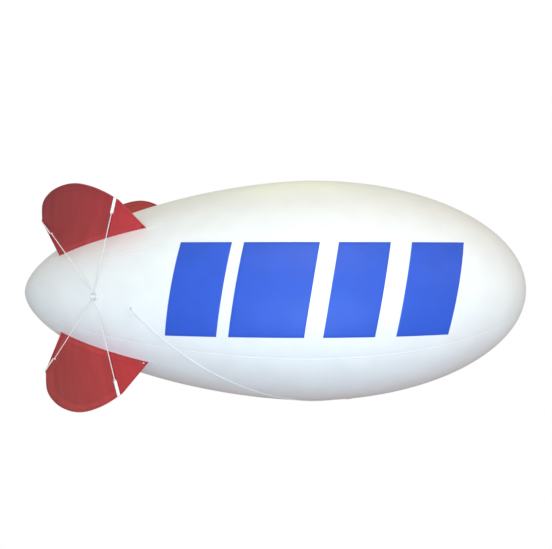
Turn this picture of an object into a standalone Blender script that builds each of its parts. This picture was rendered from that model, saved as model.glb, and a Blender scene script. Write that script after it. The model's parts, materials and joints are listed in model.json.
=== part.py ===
"""Advertising blimp balloon: film envelope of six gores, four guyed fins, tether harness, filling valve.

Metres, +X to the nose, +Z up. The origin is the envelope's centre of buoyancy, on its long axis.
A turn is an angle about the long axis, from +Z towards -Y, so the top is 0, the side at -Y is 90
and the belly is 180 degrees.
"""
import math

import bmesh
import bpy
from mathutils import Matrix, Vector

# Envelope: half an ellipse ahead of its widest station, a leaner curve behind it
NOSE_X = 1.553
TAIL_X = -1.797
WIDEST_X = 0.143
HULL_RADIUS = 0.725
TAIL_POWER = 1.72
TAIL_FULLNESS = 0.579
SHELL = 0.010
POLE_RADIUS = 0.050
TIP_REACH = 0.8         # how near the pole a gore's tip is made before the opening is cut
GORES = 6
FACETS_PER_GORE = 6
NOSE_STATIONS = 14
TAIL_STATIONS = 20
CAP_RINGS = 3

# Gap between pieces that touch, and what a piece over a bend in the hull needs more
GAP = 0.0003
BEND_GAP = 0.0002
PATCH_GAP = 0.00005

# How far a cutting tool reaches past what it cuts, and past the whole balloon
CUT_REACH = 0.05
SLOT_REACH = 0.03
WHOLE_REACH = 3.0

# Fins: fabric panel in a rim sleeve, standing on a welt along the hull
FIN_NAMES = ("starboard_top", "starboard_belly", "port_belly", "port_top")
FIN_TURNS = (45, 135, 225, 315)
PANEL = 0.006
RIM_RADIUS = 0.007
WELT = 0.002
WELT_WIDTH = 0.036
WELT_REACH = 0.035
EDGE_STEPS = 3
ROOT_MARGIN = 0.2       # stretch of hull past both feet that the root is cut along
ROOT_DEPTH = 0.15       # distance from the long axis down to which it is cut
ROOT_INSIDE = ((-1.40, 0.2), (-0.862, 0.4))     # two corners of the raw panel inside the hull

# Free edge of a fin from its front foot to its rear foot, along the middle of the rim
# Columns: x, distance from the long axis
LEADING_FOOT = (-0.816, 0.546)
REAR_FOOT = (-1.444, 0.315)
TIP_CURVE = (
    (-0.953, 0.812),
    (-1.030, 0.881),
    (-1.110, 0.925),
    (-1.185, 0.939),
    (-1.268, 0.919),
    (-1.347, 0.870),
    (-1.413, 0.790),
    (-1.461, 0.654),
)

# Stays: a tape strap round the rim at each end of the tip curve, and a line through a ring on the hull
STAY_X = -1.138
STAY_TURNS = (0, 90, 180, 270)
STAY_LINE_RADIUS = 0.002
STAY_BEND = 0.010
RING_RADIUS = 0.020
RING_WIRE = 0.003
RING_SEGMENTS = 18
RING_SIDES = 6
TAPE = 0.002
TAPE_WIDTH = 0.018
STRAP_START = 0.004
STRAP_LENGTH = 0.090
STRAP_BACK = 0.022      # the front strap sits this far behind the fin's front corner
SLEEVE_CLEARANCE = 0.0006

# Patches of film welded on the hull
PATCH = 0.003
STAY_PATCH_RADIUS = 0.060
SIDE_PATCH_RADIUS = 0.045
BELLY_PATCH_RADIUS = 0.075
VALVE_PATCH_RADIUS = 0.055
PATCH_MARGIN = 0.03     # stretch of hull past a patch's edge that it is cut from

# Tether harness: a line along each flank from a patch near the tail to a tab under the belly
SIDE_PATCH_X = -0.888
SIDE_PATCH_TURN = 97.0
TETHER_X = 0.400
HARNESS_RADIUS = 0.002
HARNESS_END_Y = 0.0178
HARNESS_STEPS = 400
LEAST_PULL = 0.1        # radius times the sine of the line's angle: the search starts between
MOST_PULL = 0.55        # these two
HALVINGS = 40
STEP_UP = 0.035         # the line rises this far before a patch's edge
TAB_LENGTH = 0.030
TAB_WIDTH = 0.010
TAB_HEIGHT = 0.012
TAB_EYE_RADIUS = 0.0034
TAB_ROUND = 0.006
TAB_SHOULDER = 0.0004   # the tab's neck is this much shorter at each end than the fold above it

# D-ring of flat bar in the tab
D_INSIDE = 0.018
D_BAR = 0.0044
D_ARM = 0.014
D_STEPS = 13

# Filling valve with a hinged lid
VALVE_STATION = 7
VALVE_TURN = 195.0
FLANGE_RADIUS = 0.032
FLANGE = 0.003
BOSS_RADIUS = 0.018
BOSS = 0.012
LID_RADIUS = 0.017
LID = 0.004
HINGE_X = -0.0225
KNUCKLE_RADIUS = 0.0026
KNUCKLE_LENGTH = 0.008
KNUCKLE_GAP = 0.0005
PIN_RADIUS = 0.0012
PIN_HOLE = 0.0015
EAR = 0.003

FACETS = GORES * FACETS_PER_GORE
FACET = 2 * math.pi / FACETS

# Finishes: colour, roughness, metallic
FILM = ((0.86, 0.87, 0.86), 0.35, 0.0)
RED_NYLON = ((0.45, 0.03, 0.04), 0.65, 0.0)
RED_HEM = ((0.56, 0.04, 0.05), 0.6, 0.0)
WHITE_TAPE = ((0.80, 0.80, 0.78), 0.8, 0.0)
WHITE_CORD = ((0.82, 0.82, 0.80), 0.75, 0.0)
ZINC = ((0.60, 0.61, 0.62), 0.35, 1.0)
VALVE_PLASTIC = ((0.78, 0.79, 0.80), 0.4, 0.0)


# Collections and materials

def clear_scene():
    for item in list(bpy.data.objects):
        bpy.data.objects.remove(item, do_unlink=True)


def new_collection(name):
    collection = bpy.data.collections.new(name)
    bpy.context.scene.collection.children.link(collection)
    return collection


def paint(item, finish):
    """Give one object its own Principled material."""
    colour, roughness, metallic = finish
    material = bpy.data.materials.new(item.name + "_finish")
    material.use_nodes = True
    shader = material.node_tree.nodes["Principled BSDF"]
    shader.inputs["Base Color"].default_value = (*colour, 1.0)
    shader.inputs["Roughness"].default_value = roughness
    shader.inputs["Metallic"].default_value = metallic
    item.data.materials.clear()
    item.data.materials.append(material)


# Envelope's shape

def hull_radius(x):
    """Radius of the inflated envelope at a station."""
    if x >= WIDEST_X:
        t = (x - WIDEST_X) / (NOSE_X - WIDEST_X)
        return HULL_RADIUS * math.sqrt(max(0.0, 1 - t * t))
    t = (WIDEST_X - x) / (WIDEST_X - TAIL_X)
    return HULL_RADIUS * max(0.0, 1 - t ** TAIL_POWER) ** TAIL_FULLNESS


def pole_share(radius, toward_nose):
    """Share of the way from the widest station to a pole where the envelope has this radius."""
    share = radius / HULL_RADIUS
    if toward_nose:
        return math.sqrt(1 - share ** 2)
    return (1 - share ** (1 / TAIL_FULLNESS)) ** (1 / TAIL_POWER)


def hull_stations():
    """Stations from just inside the tail opening to just inside the nose opening."""
    nose_end = math.asin(pole_share(POLE_RADIUS * TIP_REACH, True))
    tail_end = math.asin(pole_share(POLE_RADIUS * TIP_REACH, False))
    tail = [WIDEST_X - (WIDEST_X - TAIL_X) * math.sin(tail_end * i / TAIL_STATIONS)
            for i in range(TAIL_STATIONS, 0, -1)]
    nose = [WIDEST_X + (NOSE_X - WIDEST_X) * math.sin(nose_end * i / NOSE_STATIONS)
            for i in range(NOSE_STATIONS + 1)]
    return [(x, hull_radius(x)) for x in tail + nose]


STATIONS = hull_stations()


def ridge_radius(x):
    """Radius of the faceted hull along a ridge between two facets."""
    for (x0, r0), (x1, r1) in zip(STATIONS, STATIONS[1:]):
        if x0 <= x <= x1:
            return r0 + (r1 - r0) * (x - x0) / (x1 - x0)
    return hull_radius(x)


def facet_radius(x, turn):
    """Radius of the faceted hull at any turn, in radians."""
    across = turn % FACET - FACET / 2
    return ridge_radius(x) * math.cos(FACET / 2) / math.cos(across)


def slope_at(x):
    """Angle of the hull's side to the long axis, positive where it widens towards the nose."""
    for (x0, r0), (x1, r1) in zip(STATIONS, STATIONS[1:]):
        if x0 <= x <= x1:
            return math.atan2(r1 - r0, x1 - x0)
    return 0.0


def around(x, radius, turn):
    """Point at a radius and a turn, in radians, about the long axis."""
    return Vector((x, -radius * math.sin(turn), radius * math.cos(turn)))


def seat(x, turn):
    """Frame on the hull: +Z outward, +X forward along the skin, +Y across it."""
    slope = slope_at(x)
    forward = Matrix.Rotation(turn, 4, "X") @ Matrix.Rotation(-slope, 4, "Y")
    return Matrix.Translation(around(x, facet_radius(x, turn), turn)) @ forward


# Shape tools

def bake(item):
    """Replace an object's modifiers or its curve by the mesh that they make."""
    bpy.context.view_layer.update()
    evaluated = item.evaluated_get(bpy.context.evaluated_depsgraph_get())
    mesh = bpy.data.meshes.new_from_object(evaluated)
    solid = bmesh.new()
    solid.from_mesh(mesh)
    bmesh.ops.remove_doubles(solid, verts=solid.verts, dist=0.00001)
    solid.to_mesh(mesh)
    solid.free()
    baked = bpy.data.objects.new(item.name, mesh)
    baked.matrix_world = item.matrix_world
    name = item.name
    bpy.data.objects.remove(item, do_unlink=True)
    baked.name = name
    bpy.context.scene.collection.objects.link(baked)
    return baked


def fix_place(item):
    """Move an object's place into its mesh."""
    bpy.context.view_layer.update()
    item.data.transform(item.matrix_world)
    item.matrix_world = Matrix.Identity(4)
    return item


def as_cutter(item):
    item.hide_render = True
    item.display_type = "WIRE"
    for collection in item.users_collection:
        collection.objects.unlink(item)
    CUTTERS.objects.link(item)


def combine(item, other, operation):
    """Cut or join an object with another by an exact Boolean, and keep the result."""
    as_cutter(other)
    modifier = item.modifiers.new(operation.lower(), "BOOLEAN")
    modifier.operation = operation
    modifier.solver = "EXACT"
    modifier.object = other
    return bake(item)


def turned_shell(name, profile, start, facets, thickness, outward):
    """Turn a profile of (x, radius) about the long axis and give the sheet its thickness."""
    mesh = bpy.data.meshes.new(name)
    points = [(x, 0.0, radius) for x, radius in profile]
    edges = [(i, i + 1) for i in range(len(points) - 1)]
    mesh.from_pydata(points, edges, [])
    item = bpy.data.objects.new(name, mesh)
    bpy.context.scene.collection.objects.link(item)
    item.rotation_euler.x = start
    screw = item.modifiers.new("turn", "SCREW")
    screw.axis = "X"
    screw.angle = facets * FACET
    screw.steps = facets
    screw.render_steps = facets
    screw.use_merge_vertices = True
    screw.merge_threshold = 0.00001
    wall = item.modifiers.new("wall", "SOLIDIFY")
    wall.thickness = thickness
    wall.offset = -1.0 if outward else 1.0
    wall.use_even_offset = True
    return item


def plate(name, outlines, thickness):
    """Flat plate in the XZ plane from closed outlines of (x, z); a second outline is a hole."""
    data = bpy.data.curves.new(name, "CURVE")
    data.dimensions = "2D"
    data.fill_mode = "BOTH"
    data.extrude = thickness / 2
    for outline in outlines:
        spline = data.splines.new("POLY")
        spline.points.add(len(outline) - 1)
        for point, (x, z) in zip(spline.points, outline):
            point.co = (x, z, 0.0, 1.0)
        spline.use_cyclic_u = True
    item = bpy.data.objects.new(name, data)
    item.rotation_euler.x = math.pi / 2
    bpy.context.scene.collection.objects.link(item)
    return fix_place(bake(item))


def tube(name, points, radius, resolution=2):
    """Round bar along a list of points, with flat ends."""
    data = bpy.data.curves.new(name, "CURVE")
    data.dimensions = "3D"
    data.bevel_depth = radius
    data.bevel_resolution = resolution
    data.use_fill_caps = True
    spline = data.splines.new("POLY")
    spline.points.add(len(points) - 1)
    for point, place in zip(spline.points, points):
        point.co = (*place, 1.0)
    item = bpy.data.objects.new(name, data)
    bpy.context.scene.collection.objects.link(item)
    return bake(item)


def cylinder(name, radius, low, high, frame, sides=32):
    """Cylinder along the frame's Z axis, from one height to another."""
    bpy.ops.mesh.primitive_cylinder_add(vertices=sides, radius=radius, depth=high - low)
    item = bpy.context.object
    item.name = name
    item.matrix_world = frame @ Matrix.Translation((0, 0, (low + high) / 2))
    return fix_place(item)


def block(name, low, high, frame):
    """Box between two corners given in a frame."""
    low, high = Vector(low), Vector(high)
    bpy.ops.mesh.primitive_cube_add(size=1.0)
    item = bpy.context.object
    item.name = name
    item.data.transform(Matrix.Translation((low + high) / 2) @ Matrix.Diagonal((*(high - low), 1.0)))
    item.matrix_world = frame
    return fix_place(item)


def basis(origin, x_axis, y_axis):
    """Frame from an origin and two square axes."""
    z_axis = x_axis.cross(y_axis)
    frame = Matrix((x_axis, y_axis, z_axis)).transposed().to_4x4()
    frame.translation = origin
    return frame


def catmull(points, steps):
    """Smooth run through points; each stretch is cut into equal steps."""
    ends = [2 * points[0] - points[1]] + points + [2 * points[-1] - points[-2]]
    run = []
    for a, b, c, d in zip(ends, ends[1:], ends[2:], ends[3:]):
        for i in range(steps):
            t = i / steps
            run.append(0.5 * (2 * b + (c - a) * t + (2 * a - 5 * b + 4 * c - d) * t ** 2
                              + (3 * b - a - 3 * c + d) * t ** 3))
    run.append(points[-1])
    return run


def fillet(before, corner, after, radius, steps=6):
    """Arc that rounds a corner between two straight runs."""
    to_before = (before - corner).normalized()
    to_after = (after - corner).normalized()
    half = to_before.angle(to_after) / 2
    middle = corner + (to_before + to_after).normalized() * radius / math.sin(half)
    start = corner + to_before * radius / math.tan(half) - middle
    end = corner + to_after * radius / math.tan(half) - middle
    sweep = start.angle(end)
    axis = start.cross(end).normalized()
    return [middle + Matrix.Rotation(sweep * i / steps, 3, axis) @ start for i in range(steps + 1)]


def round_copies(item, names, turns, finish):
    """Set like pieces round the long axis: one mesh, one object for each turn in degrees."""
    for name, turn in zip(names, turns):
        copy = bpy.data.objects.new(name, item.data.copy())
        copy.rotation_euler.x = math.radians(turn)
        PARTS.objects.link(copy)
        paint(copy, finish)
    bpy.data.objects.remove(item, do_unlink=True)


def keep(item, name, finish):
    """Name a finished piece, give it its finish and put it with the parts."""
    item.name = name
    for collection in item.users_collection:
        collection.objects.unlink(item)
    PARTS.objects.link(item)
    paint(item, finish)


# Envelope

def pole_cylinder(name, radius):
    """Cylinder on the long axis that cuts both pole openings."""
    lying = Matrix.Rotation(math.pi / 2, 4, "Y")
    return cylinder(name, radius, -WHOLE_REACH, WHOLE_REACH, lying, FACETS)


def make_gores():
    """Six 10 mm gores, trimmed to a wedge whose sides stand half a gap inside the seams."""
    names = ("gore_starboard_top", "gore_starboard", "gore_starboard_belly",
             "gore_port_belly", "gore_port", "gore_port_top")
    width = 360 / GORES
    half = math.radians(width / 2)
    gore = bake(turned_shell("gore", STATIONS, -half, FACETS_PER_GORE, SHELL, False))
    side = math.tan(half)
    wedge = plate("wedge", [[(0.0, GAP), (-side, 1.0 + GAP), (side, 1.0 + GAP)]], 2 * WHOLE_REACH)
    wedge.rotation_euler.z = math.pi / 2
    gore = combine(fix_place(gore), fix_place(wedge), "INTERSECT")
    gore = combine(gore, pole_cylinder("pole_opening", POLE_RADIUS), "DIFFERENCE")
    round_copies(gore, names, [width * (i + 0.5) for i in range(GORES)], FILM)


def make_caps():
    """Cap that closes the ring of gore tips at each pole."""
    reach = POLE_RADIUS / TIP_REACH
    for name, toward_nose in (("nose_cap", True), ("tail_cap", False)):
        pole = NOSE_X if toward_nose else TAIL_X
        profile = []
        for i in range(CAP_RINGS + 1):
            radius = reach * i / CAP_RINGS
            profile.append((WIDEST_X + (pole - WIDEST_X) * pole_share(radius, toward_nose), radius))
        if toward_nose:
            profile.reverse()
        cap = bake(turned_shell(name, profile, 0.0, FACETS, SHELL, False))
        cap = combine(cap, pole_cylinder("pole_edge", POLE_RADIUS - GAP), "INTERSECT")
        keep(cap, name, FILM)


# Patches

def make_patch(name, x, turn, radius):
    """Round patch that follows the hull's facets, a gap above them."""
    frame = seat(x, turn)
    reach = radius + PATCH_MARGIN
    low = max(i for i, (sx, _) in enumerate(STATIONS) if sx < x - reach)
    high = min(i for i, (sx, _) in enumerate(STATIONS) if sx > x + reach)
    lift = GAP / math.cos(FACET / 2) / math.cos(slope_at(x)) + PATCH_GAP
    profile = [(sx, sr + lift) for sx, sr in STATIONS[low:high + 1]]
    half_width = reach / ridge_radius(x)
    first = math.floor((turn - half_width) / FACET)
    last = math.ceil((turn + half_width) / FACET)
    patch = bake(turned_shell(name, profile, first * FACET, last - first, PATCH, True))
    disc = cylinder(name + "_edge", radius, -CUT_REACH, CUT_REACH, frame)
    return combine(fix_place(patch), disc, "INTERSECT")


# Fins

def rim_path():
    """Middle of the rim, from the front foot over the tip to the rear foot, in the XZ plane."""
    tip = catmull([Vector((x, 0.0, r)) for x, r in TIP_CURVE], EDGE_STEPS)
    front, rear = (Vector((x, 0.0, r)) for x, r in (LEADING_FOOT, REAR_FOOT))
    return [front] + tip + [rear]


def root_line(height):
    """Points along the hull under a fin, at a height above the facet's middle line."""
    reach = [x for x, _ in STATIONS if REAR_FOOT[0] - ROOT_MARGIN < x < LEADING_FOOT[0] + ROOT_MARGIN]
    return [(x, ridge_radius(x) * math.cos(FACET / 2) + height / math.cos(slope_at(x))) for x in reach]


def root_cutter():
    """Prism of everything below the line where panel and rim end."""
    line = root_line(GAP + WELT + GAP)
    below = [(line[-1][0], ROOT_DEPTH), (line[0][0], ROOT_DEPTH)]
    return plate("root_cutter", [line + below], 2 * CUT_REACH)


def make_fin_panels():
    """Flat panel that ends a gap short of the rim and of the welt."""
    path = rim_path()
    outline = []
    for i, point in enumerate(path):
        before = path[max(i - 1, 0)]
        after = path[min(i + 1, len(path) - 1)]
        along = (after - before).normalized()
        turn_half = (point - before).angle(after - point) / 2 if 0 < i < len(path) - 1 else 0.0
        inset = (RIM_RADIUS + GAP) / math.cos(turn_half)
        outline.append((point.x - along.z * inset, point.z + along.x * inset))
    outline += ROOT_INSIDE
    panel = combine(plate("fin_panel", [outline], PANEL), root_cutter(), "DIFFERENCE")
    round_copies(panel, ["fin_panel_" + n for n in FIN_NAMES], FIN_TURNS, RED_NYLON)


def make_fin_rims():
    """Rim sleeve, cut off along the hull."""
    rim = combine(tube("fin_rim", rim_path(), RIM_RADIUS), root_cutter(), "DIFFERENCE")
    round_copies(rim, ["fin_rim_" + n for n in FIN_NAMES], FIN_TURNS, RED_HEM)


def make_fin_welts():
    """Strip welded on the hull under each fin."""
    low = root_line(GAP)
    high = root_line(GAP + WELT)
    ends = (REAR_FOOT[0] - WELT_REACH, LEADING_FOOT[0] + WELT_REACH)
    inner = [i for i, (x, _) in enumerate(low) if ends[0] < x < ends[1]]
    first, last = inner[0] - 1, inner[-1] + 1
    outline = low[first:last + 1] + list(reversed(high[first:last + 1]))
    welt = plate("fin_welt", [outline], WELT_WIDTH)
    corners = ((ends[0], -CUT_REACH, 0.0), (ends[1], CUT_REACH, HULL_RADIUS))
    welt = combine(welt, block("welt_trim", *corners, Matrix.Identity(4)), "INTERSECT")
    round_copies(welt, ["fin_welt_" + n for n in FIN_NAMES], FIN_TURNS, FILM)


# Stays

RING_HEIGHT = GAP + PATCH + GAP + RING_WIRE


def ring_frame(turn):
    return seat(STAY_X, turn) @ Matrix.Translation((0, 0, RING_HEIGHT))


def strap_places():
    """Where the front and the rear strap cross the rim, and the rim's direction there."""
    path = rim_path()
    along = (path[2] - path[1]).normalized()
    before, place, after = path[-3:]
    bend = ((place - before).normalized() + (after - place).normalized()).normalized()
    return (path[1] + along * STRAP_BACK, along), (place, bend)


def stay_corner(side):
    """Where the two runs of a stay line would meet, beside the ring on one side of a fin."""
    frame = ring_frame(math.radians(45) * side)
    bend_reach = RING_RADIUS + RING_WIRE + GAP + STAY_LINE_RADIUS - STAY_BEND
    return frame @ Vector((0.0, bend_reach * side, 0.0))


def make_straps():
    """Tape strap round the rim with one leg down each face, for the front and the rear of a fin."""
    bore = RIM_RADIUS + SLEEVE_CLEARANCE
    half_width = TAPE_WIDTH / 2
    slit = PANEL / 2 + GAP
    across = Vector((0.0, 1.0, 0.0))
    for label, (place, along) in zip(("front", "rear"), strap_places()):
        frame = basis(place, along.cross(across), across)
        strap = cylinder("strap", bore + TAPE, -half_width, half_width, frame, 16)
        for side in (1, -1):
            toward = (stay_corner(side) - place).normalized()
            flat = (along - toward * along.dot(toward)).normalized()
            leg = block("leg", (STRAP_START, -half_width, -TAPE / 2), (STRAP_LENGTH, half_width, TAPE / 2),
                        basis(place, toward, flat))
            strap = combine(strap, leg, "UNION")
        strap = combine(strap, tube("core", rim_path(), bore), "DIFFERENCE")
        slot = block("slot", (0.0, -slit, -SLOT_REACH), (SLOT_REACH, slit, SLOT_REACH), frame)
        strap = combine(strap, slot, "DIFFERENCE")
        round_copies(strap, ["fin_strap_" + label + "_" + n for n in FIN_NAMES], FIN_TURNS, WHITE_TAPE)


def make_stay_lines():
    """One line on each face of a fin: front strap, round the ring's side, rear strap."""
    (front, _), (rear, _) = strap_places()
    for side, face in ((1, "a"), (-1, "b")):
        corner = stay_corner(side)
        start = front + (corner - front).normalized() * (STRAP_LENGTH + GAP)
        end = rear + (corner - rear).normalized() * (STRAP_LENGTH + GAP)
        run = [start] + fillet(start, corner, end, STAY_BEND) + [end]
        line = tube("stay", run, STAY_LINE_RADIUS, 1)
        round_copies(line, ["stay_line_" + n + "_" + face for n in FIN_NAMES], FIN_TURNS, WHITE_CORD)


def make_stay_anchors():
    """Patch and ring on the hull midway between the fins."""
    names = ("top", "starboard", "belly", "port")
    patch = make_patch("patch", STAY_X, 0.0, STAY_PATCH_RADIUS)
    round_copies(patch, ["stay_patch_" + n for n in names], STAY_TURNS, FILM)
    bpy.ops.mesh.primitive_torus_add(major_radius=RING_RADIUS, minor_radius=RING_WIRE,
                                     major_segments=RING_SEGMENTS, minor_segments=RING_SIDES)
    ring = bpy.context.object
    ring.matrix_world = ring_frame(0.0)
    round_copies(fix_place(ring), ["stay_ring_" + n for n in names], STAY_TURNS, ZINC)


# Tether harness

def geodesic(pull):
    """Taut path on the smooth hull from the side patch to the tether's station.

    On a turned surface the radius times the sine of the path's angle to the long axis stays the same.
    """
    turn = math.radians(SIDE_PATCH_TURN)
    run = [(SIDE_PATCH_X, turn)]
    step = (TETHER_X - SIDE_PATCH_X) / HARNESS_STEPS
    for i in range(HARNESS_STEPS):
        x = SIDE_PATCH_X + (i + 0.5) * step
        radius = hull_radius(x)
        sine = pull / radius
        slope = (hull_radius(x + step) - hull_radius(x - step)) / (2 * step)
        turn += math.hypot(1.0, slope) * step * sine / math.sqrt(1 - sine ** 2) / radius
        run.append((x + step / 2, turn))
    return run


def harness_route():
    """Geodesic that ends beside the tab, with a point at each ridge and each station that it crosses."""
    goal = math.pi - math.asin(HARNESS_END_Y / hull_radius(TETHER_X))
    low, high = LEAST_PULL, MOST_PULL
    for _ in range(HALVINGS):
        pull = (low + high) / 2
        if geodesic(pull)[-1][1] < goal:
            low = pull
        else:
            high = pull
    run = geodesic(pull)
    route = [run[0]]
    for (x0, t0), (x1, t1) in zip(run, run[1:]):
        breaks = [(sx - x0) / (x1 - x0) for sx, _ in STATIONS if x0 < sx <= x1]
        ridge = math.floor(t1 / FACET) * FACET
        if t0 < ridge <= t1:
            breaks.append((ridge - t0) / (t1 - t0))
        route += [(x0 + (x1 - x0) * s, t0 + (t1 - t0) * s) for s in sorted(breaks)]
    route.append(run[-1])
    return route


def make_harness():
    """Side patches and the lines from them; each line steps up where it runs over a patch."""
    for name, mirror in (("starboard", 1), ("port", -1)):
        keep(make_patch("side", SIDE_PATCH_X, mirror * math.radians(SIDE_PATCH_TURN), SIDE_PATCH_RADIUS),
             "side_patch_" + name, FILM)
        points = []
        for x, turn in harness_route():
            near_side = x < SIDE_PATCH_X + SIDE_PATCH_RADIUS + STEP_UP
            near_belly = x > TETHER_X - BELLY_PATCH_RADIUS - STEP_UP
            height = GAP + HARNESS_RADIUS + BEND_GAP
            if near_side or near_belly:
                height += GAP + PATCH
            points.append(seat(x, turn) @ Vector((0, 0, height)))
        if mirror < 0:
            points = [Vector((p.x, -p.y, p.z)) for p in points]
        keep(tube("line", points, HARNESS_RADIUS, 1), "harness_line_" + name, WHITE_CORD)


def tab_frame():
    return seat(TETHER_X, math.pi) @ Matrix.Translation((0, 0, GAP + PATCH + GAP))


def make_tether_tab():
    """Belly patch and the webbing tab that holds the D-ring."""
    keep(make_patch("belly", TETHER_X, math.pi, BELLY_PATCH_RADIUS), "belly_patch", FILM)
    frame = tab_frame()
    half = TAB_LENGTH / 2
    neck = half - TAB_SHOULDER
    tab = block("tab", (-TAB_WIDTH / 2, -neck, 0.0), (TAB_WIDTH / 2, neck, TAB_HEIGHT), frame)
    lying = frame @ Matrix.Translation((0, 0, TAB_HEIGHT)) @ Matrix.Rotation(math.pi / 2, 4, "X")
    tab = combine(tab, cylinder("fold", TAB_ROUND, -half, half, lying), "UNION")
    tab = combine(tab, cylinder("eye", TAB_EYE_RADIUS, -CUT_REACH, CUT_REACH, lying), "DIFFERENCE")
    keep(tab, "tether_tab", WHITE_TAPE)


def d_outline(inside, top):
    """Outline of a D: a straight bar at the top, two arms and a half-round bow."""
    bow = [(-inside * math.cos(math.pi * i / D_STEPS), -D_ARM - inside * math.sin(math.pi * i / D_STEPS))
           for i in range(D_STEPS + 1)]
    return [(inside, top), (-inside, top)] + bow


def make_tether_ring():
    """Flat-bar D-ring laid forward along the belly; it swings down and aft on its straight bar."""
    outer = d_outline(D_INSIDE + D_BAR, D_BAR / 2)
    inner = d_outline(D_INSIDE, -D_BAR / 2)
    ring = plate("ring", [outer, inner], D_BAR)
    lying_forward = basis(Vector((0, 0, TAB_HEIGHT)), Vector((0, 1, 0)), Vector((0, 0, -1)))
    ring.matrix_world = tab_frame() @ lying_forward
    keep(ring, "tether_ring", ZINC)


# Valve

def make_valve():
    """Valve patch, flange with boss and hinge ears, and the lid on its pin."""
    x = (STATIONS[VALVE_STATION][0] + STATIONS[VALVE_STATION + 1][0]) / 2
    turn = math.radians(VALVE_TURN)
    keep(make_patch("valve", x, turn, VALVE_PATCH_RADIUS), "valve_patch", FILM)
    frame = seat(x, turn) @ Matrix.Translation((0, 0, GAP + PATCH + GAP + BEND_GAP))
    top = FLANGE + BOSS
    hinge_z = top + GAP + LID / 2
    lying = frame @ Matrix.Translation((HINGE_X, 0, hinge_z)) @ Matrix.Rotation(math.pi / 2, 4, "X")
    reach = KNUCKLE_LENGTH / 2 + KNUCKLE_GAP
    body = cylinder("body", FLANGE_RADIUS, 0.0, FLANGE, frame)
    body = combine(body, cylinder("boss", BOSS_RADIUS, FLANGE / 2, top, frame), "UNION")
    for side in (1, -1):
        inner, outer = sorted((side * reach, side * (reach + EAR)))
        ear = block("ear", (HINGE_X - KNUCKLE_RADIUS, inner, FLANGE / 2),
                    (HINGE_X + KNUCKLE_RADIUS, outer, hinge_z), frame)
        body = combine(body, ear, "UNION")
        body = combine(body, cylinder("knuckle", KNUCKLE_RADIUS, inner, outer, lying, 16), "UNION")
    pin = cylinder("pin", PIN_RADIUS, -reach - EAR / 2, reach + EAR / 2, lying, 12)
    keep(combine(body, pin, "UNION"), "valve_body", VALVE_PLASTIC)

    lid = cylinder("lid", LID_RADIUS, top + GAP, top + GAP + LID, frame)
    half = KNUCKLE_LENGTH / 2
    arm = block("arm", (HINGE_X, -half, top + GAP), (-LID_RADIUS / 2, half, top + GAP + LID), frame)
    lid = combine(lid, arm, "UNION")
    lid = combine(lid, cylinder("barrel", KNUCKLE_RADIUS, -half, half, lying, 16), "UNION")
    lid = combine(lid, cylinder("pin_hole", PIN_HOLE, -reach, reach, lying, 12), "DIFFERENCE")
    keep(lid, "valve_lid", VALVE_PLASTIC)


clear_scene()
PARTS = new_collection("advertising_blimp_balloon")
CUTTERS = new_collection("cutters")
make_gores()
make_caps()
make_fin_panels()
make_fin_rims()
make_fin_welts()
make_straps()
make_stay_lines()
make_stay_anchors()
make_harness()
make_tether_tab()
make_tether_ring()
make_valve()
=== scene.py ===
"""Advertising blimp balloon: the packed solids dressed in film, cloth, webbing, cord and metal.

Metres, +X to the nose, +Z up. A turn is an angle about the long axis, from +Z towards -Y, so the
top is 0, the starboard side 90 and the belly 180 degrees.
"""
import json
import math

import bmesh
import bpy
import numpy as np
from mathutils import Matrix, Vector
from mathutils.bvhtree import BVHTree
from mathutils.geometry import delaunay_2d_cdt

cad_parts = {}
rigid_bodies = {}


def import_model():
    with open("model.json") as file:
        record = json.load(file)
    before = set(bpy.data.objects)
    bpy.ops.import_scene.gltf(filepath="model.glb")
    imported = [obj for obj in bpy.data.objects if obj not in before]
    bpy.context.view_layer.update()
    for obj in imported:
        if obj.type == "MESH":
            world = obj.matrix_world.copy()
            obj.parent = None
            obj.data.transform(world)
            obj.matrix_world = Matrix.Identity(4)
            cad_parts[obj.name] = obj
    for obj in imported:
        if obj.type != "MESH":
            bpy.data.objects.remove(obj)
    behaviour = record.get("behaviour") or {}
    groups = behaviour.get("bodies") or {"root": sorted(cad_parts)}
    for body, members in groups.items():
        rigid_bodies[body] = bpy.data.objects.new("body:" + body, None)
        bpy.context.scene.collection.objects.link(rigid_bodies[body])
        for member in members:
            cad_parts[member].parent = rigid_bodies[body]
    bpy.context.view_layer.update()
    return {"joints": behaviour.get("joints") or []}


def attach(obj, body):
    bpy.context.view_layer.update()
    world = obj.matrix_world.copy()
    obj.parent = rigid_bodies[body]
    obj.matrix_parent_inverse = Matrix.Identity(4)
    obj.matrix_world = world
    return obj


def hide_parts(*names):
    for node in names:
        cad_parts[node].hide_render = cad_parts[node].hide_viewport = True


bl_info = {
    "name": "Advertising blimp balloon",
    "version": (1, 0, 0),
    "blender": (4, 5, 0),
    "location": "View3D > Sidebar > Blimp",
    "description": "Film envelope, cloth fins, stays, tether harness and filling valve of a blimp balloon",
    "category": "Add Mesh",
}

for leftover in list(bpy.data.objects):
    bpy.data.objects.remove(leftover)
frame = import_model()
JOINTS = {joint["name"]: joint for joint in frame["joints"]}

# Envelope, as in the solids: half an ellipse ahead of the widest station, a leaner curve behind it
NOSE_X = 1.553
TAIL_X = -1.797
WIDEST_X = 0.143
HULL_RADIUS = 0.725
TAIL_POWER = 1.72
TAIL_FULLNESS = 0.579
POLE_RADIUS = 0.050
GORES = 6
GORE_NAMES = ("starboard_top", "starboard", "starboard_belly", "port_belly", "port", "port_top")

# Fins: turn in degrees, and the side to which the cloth bulges
FINS = {"starboard_top": (45, -1), "starboard_belly": (135, 1), "port_belly": (225, -1), "port_top": (315, 1)}
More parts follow.
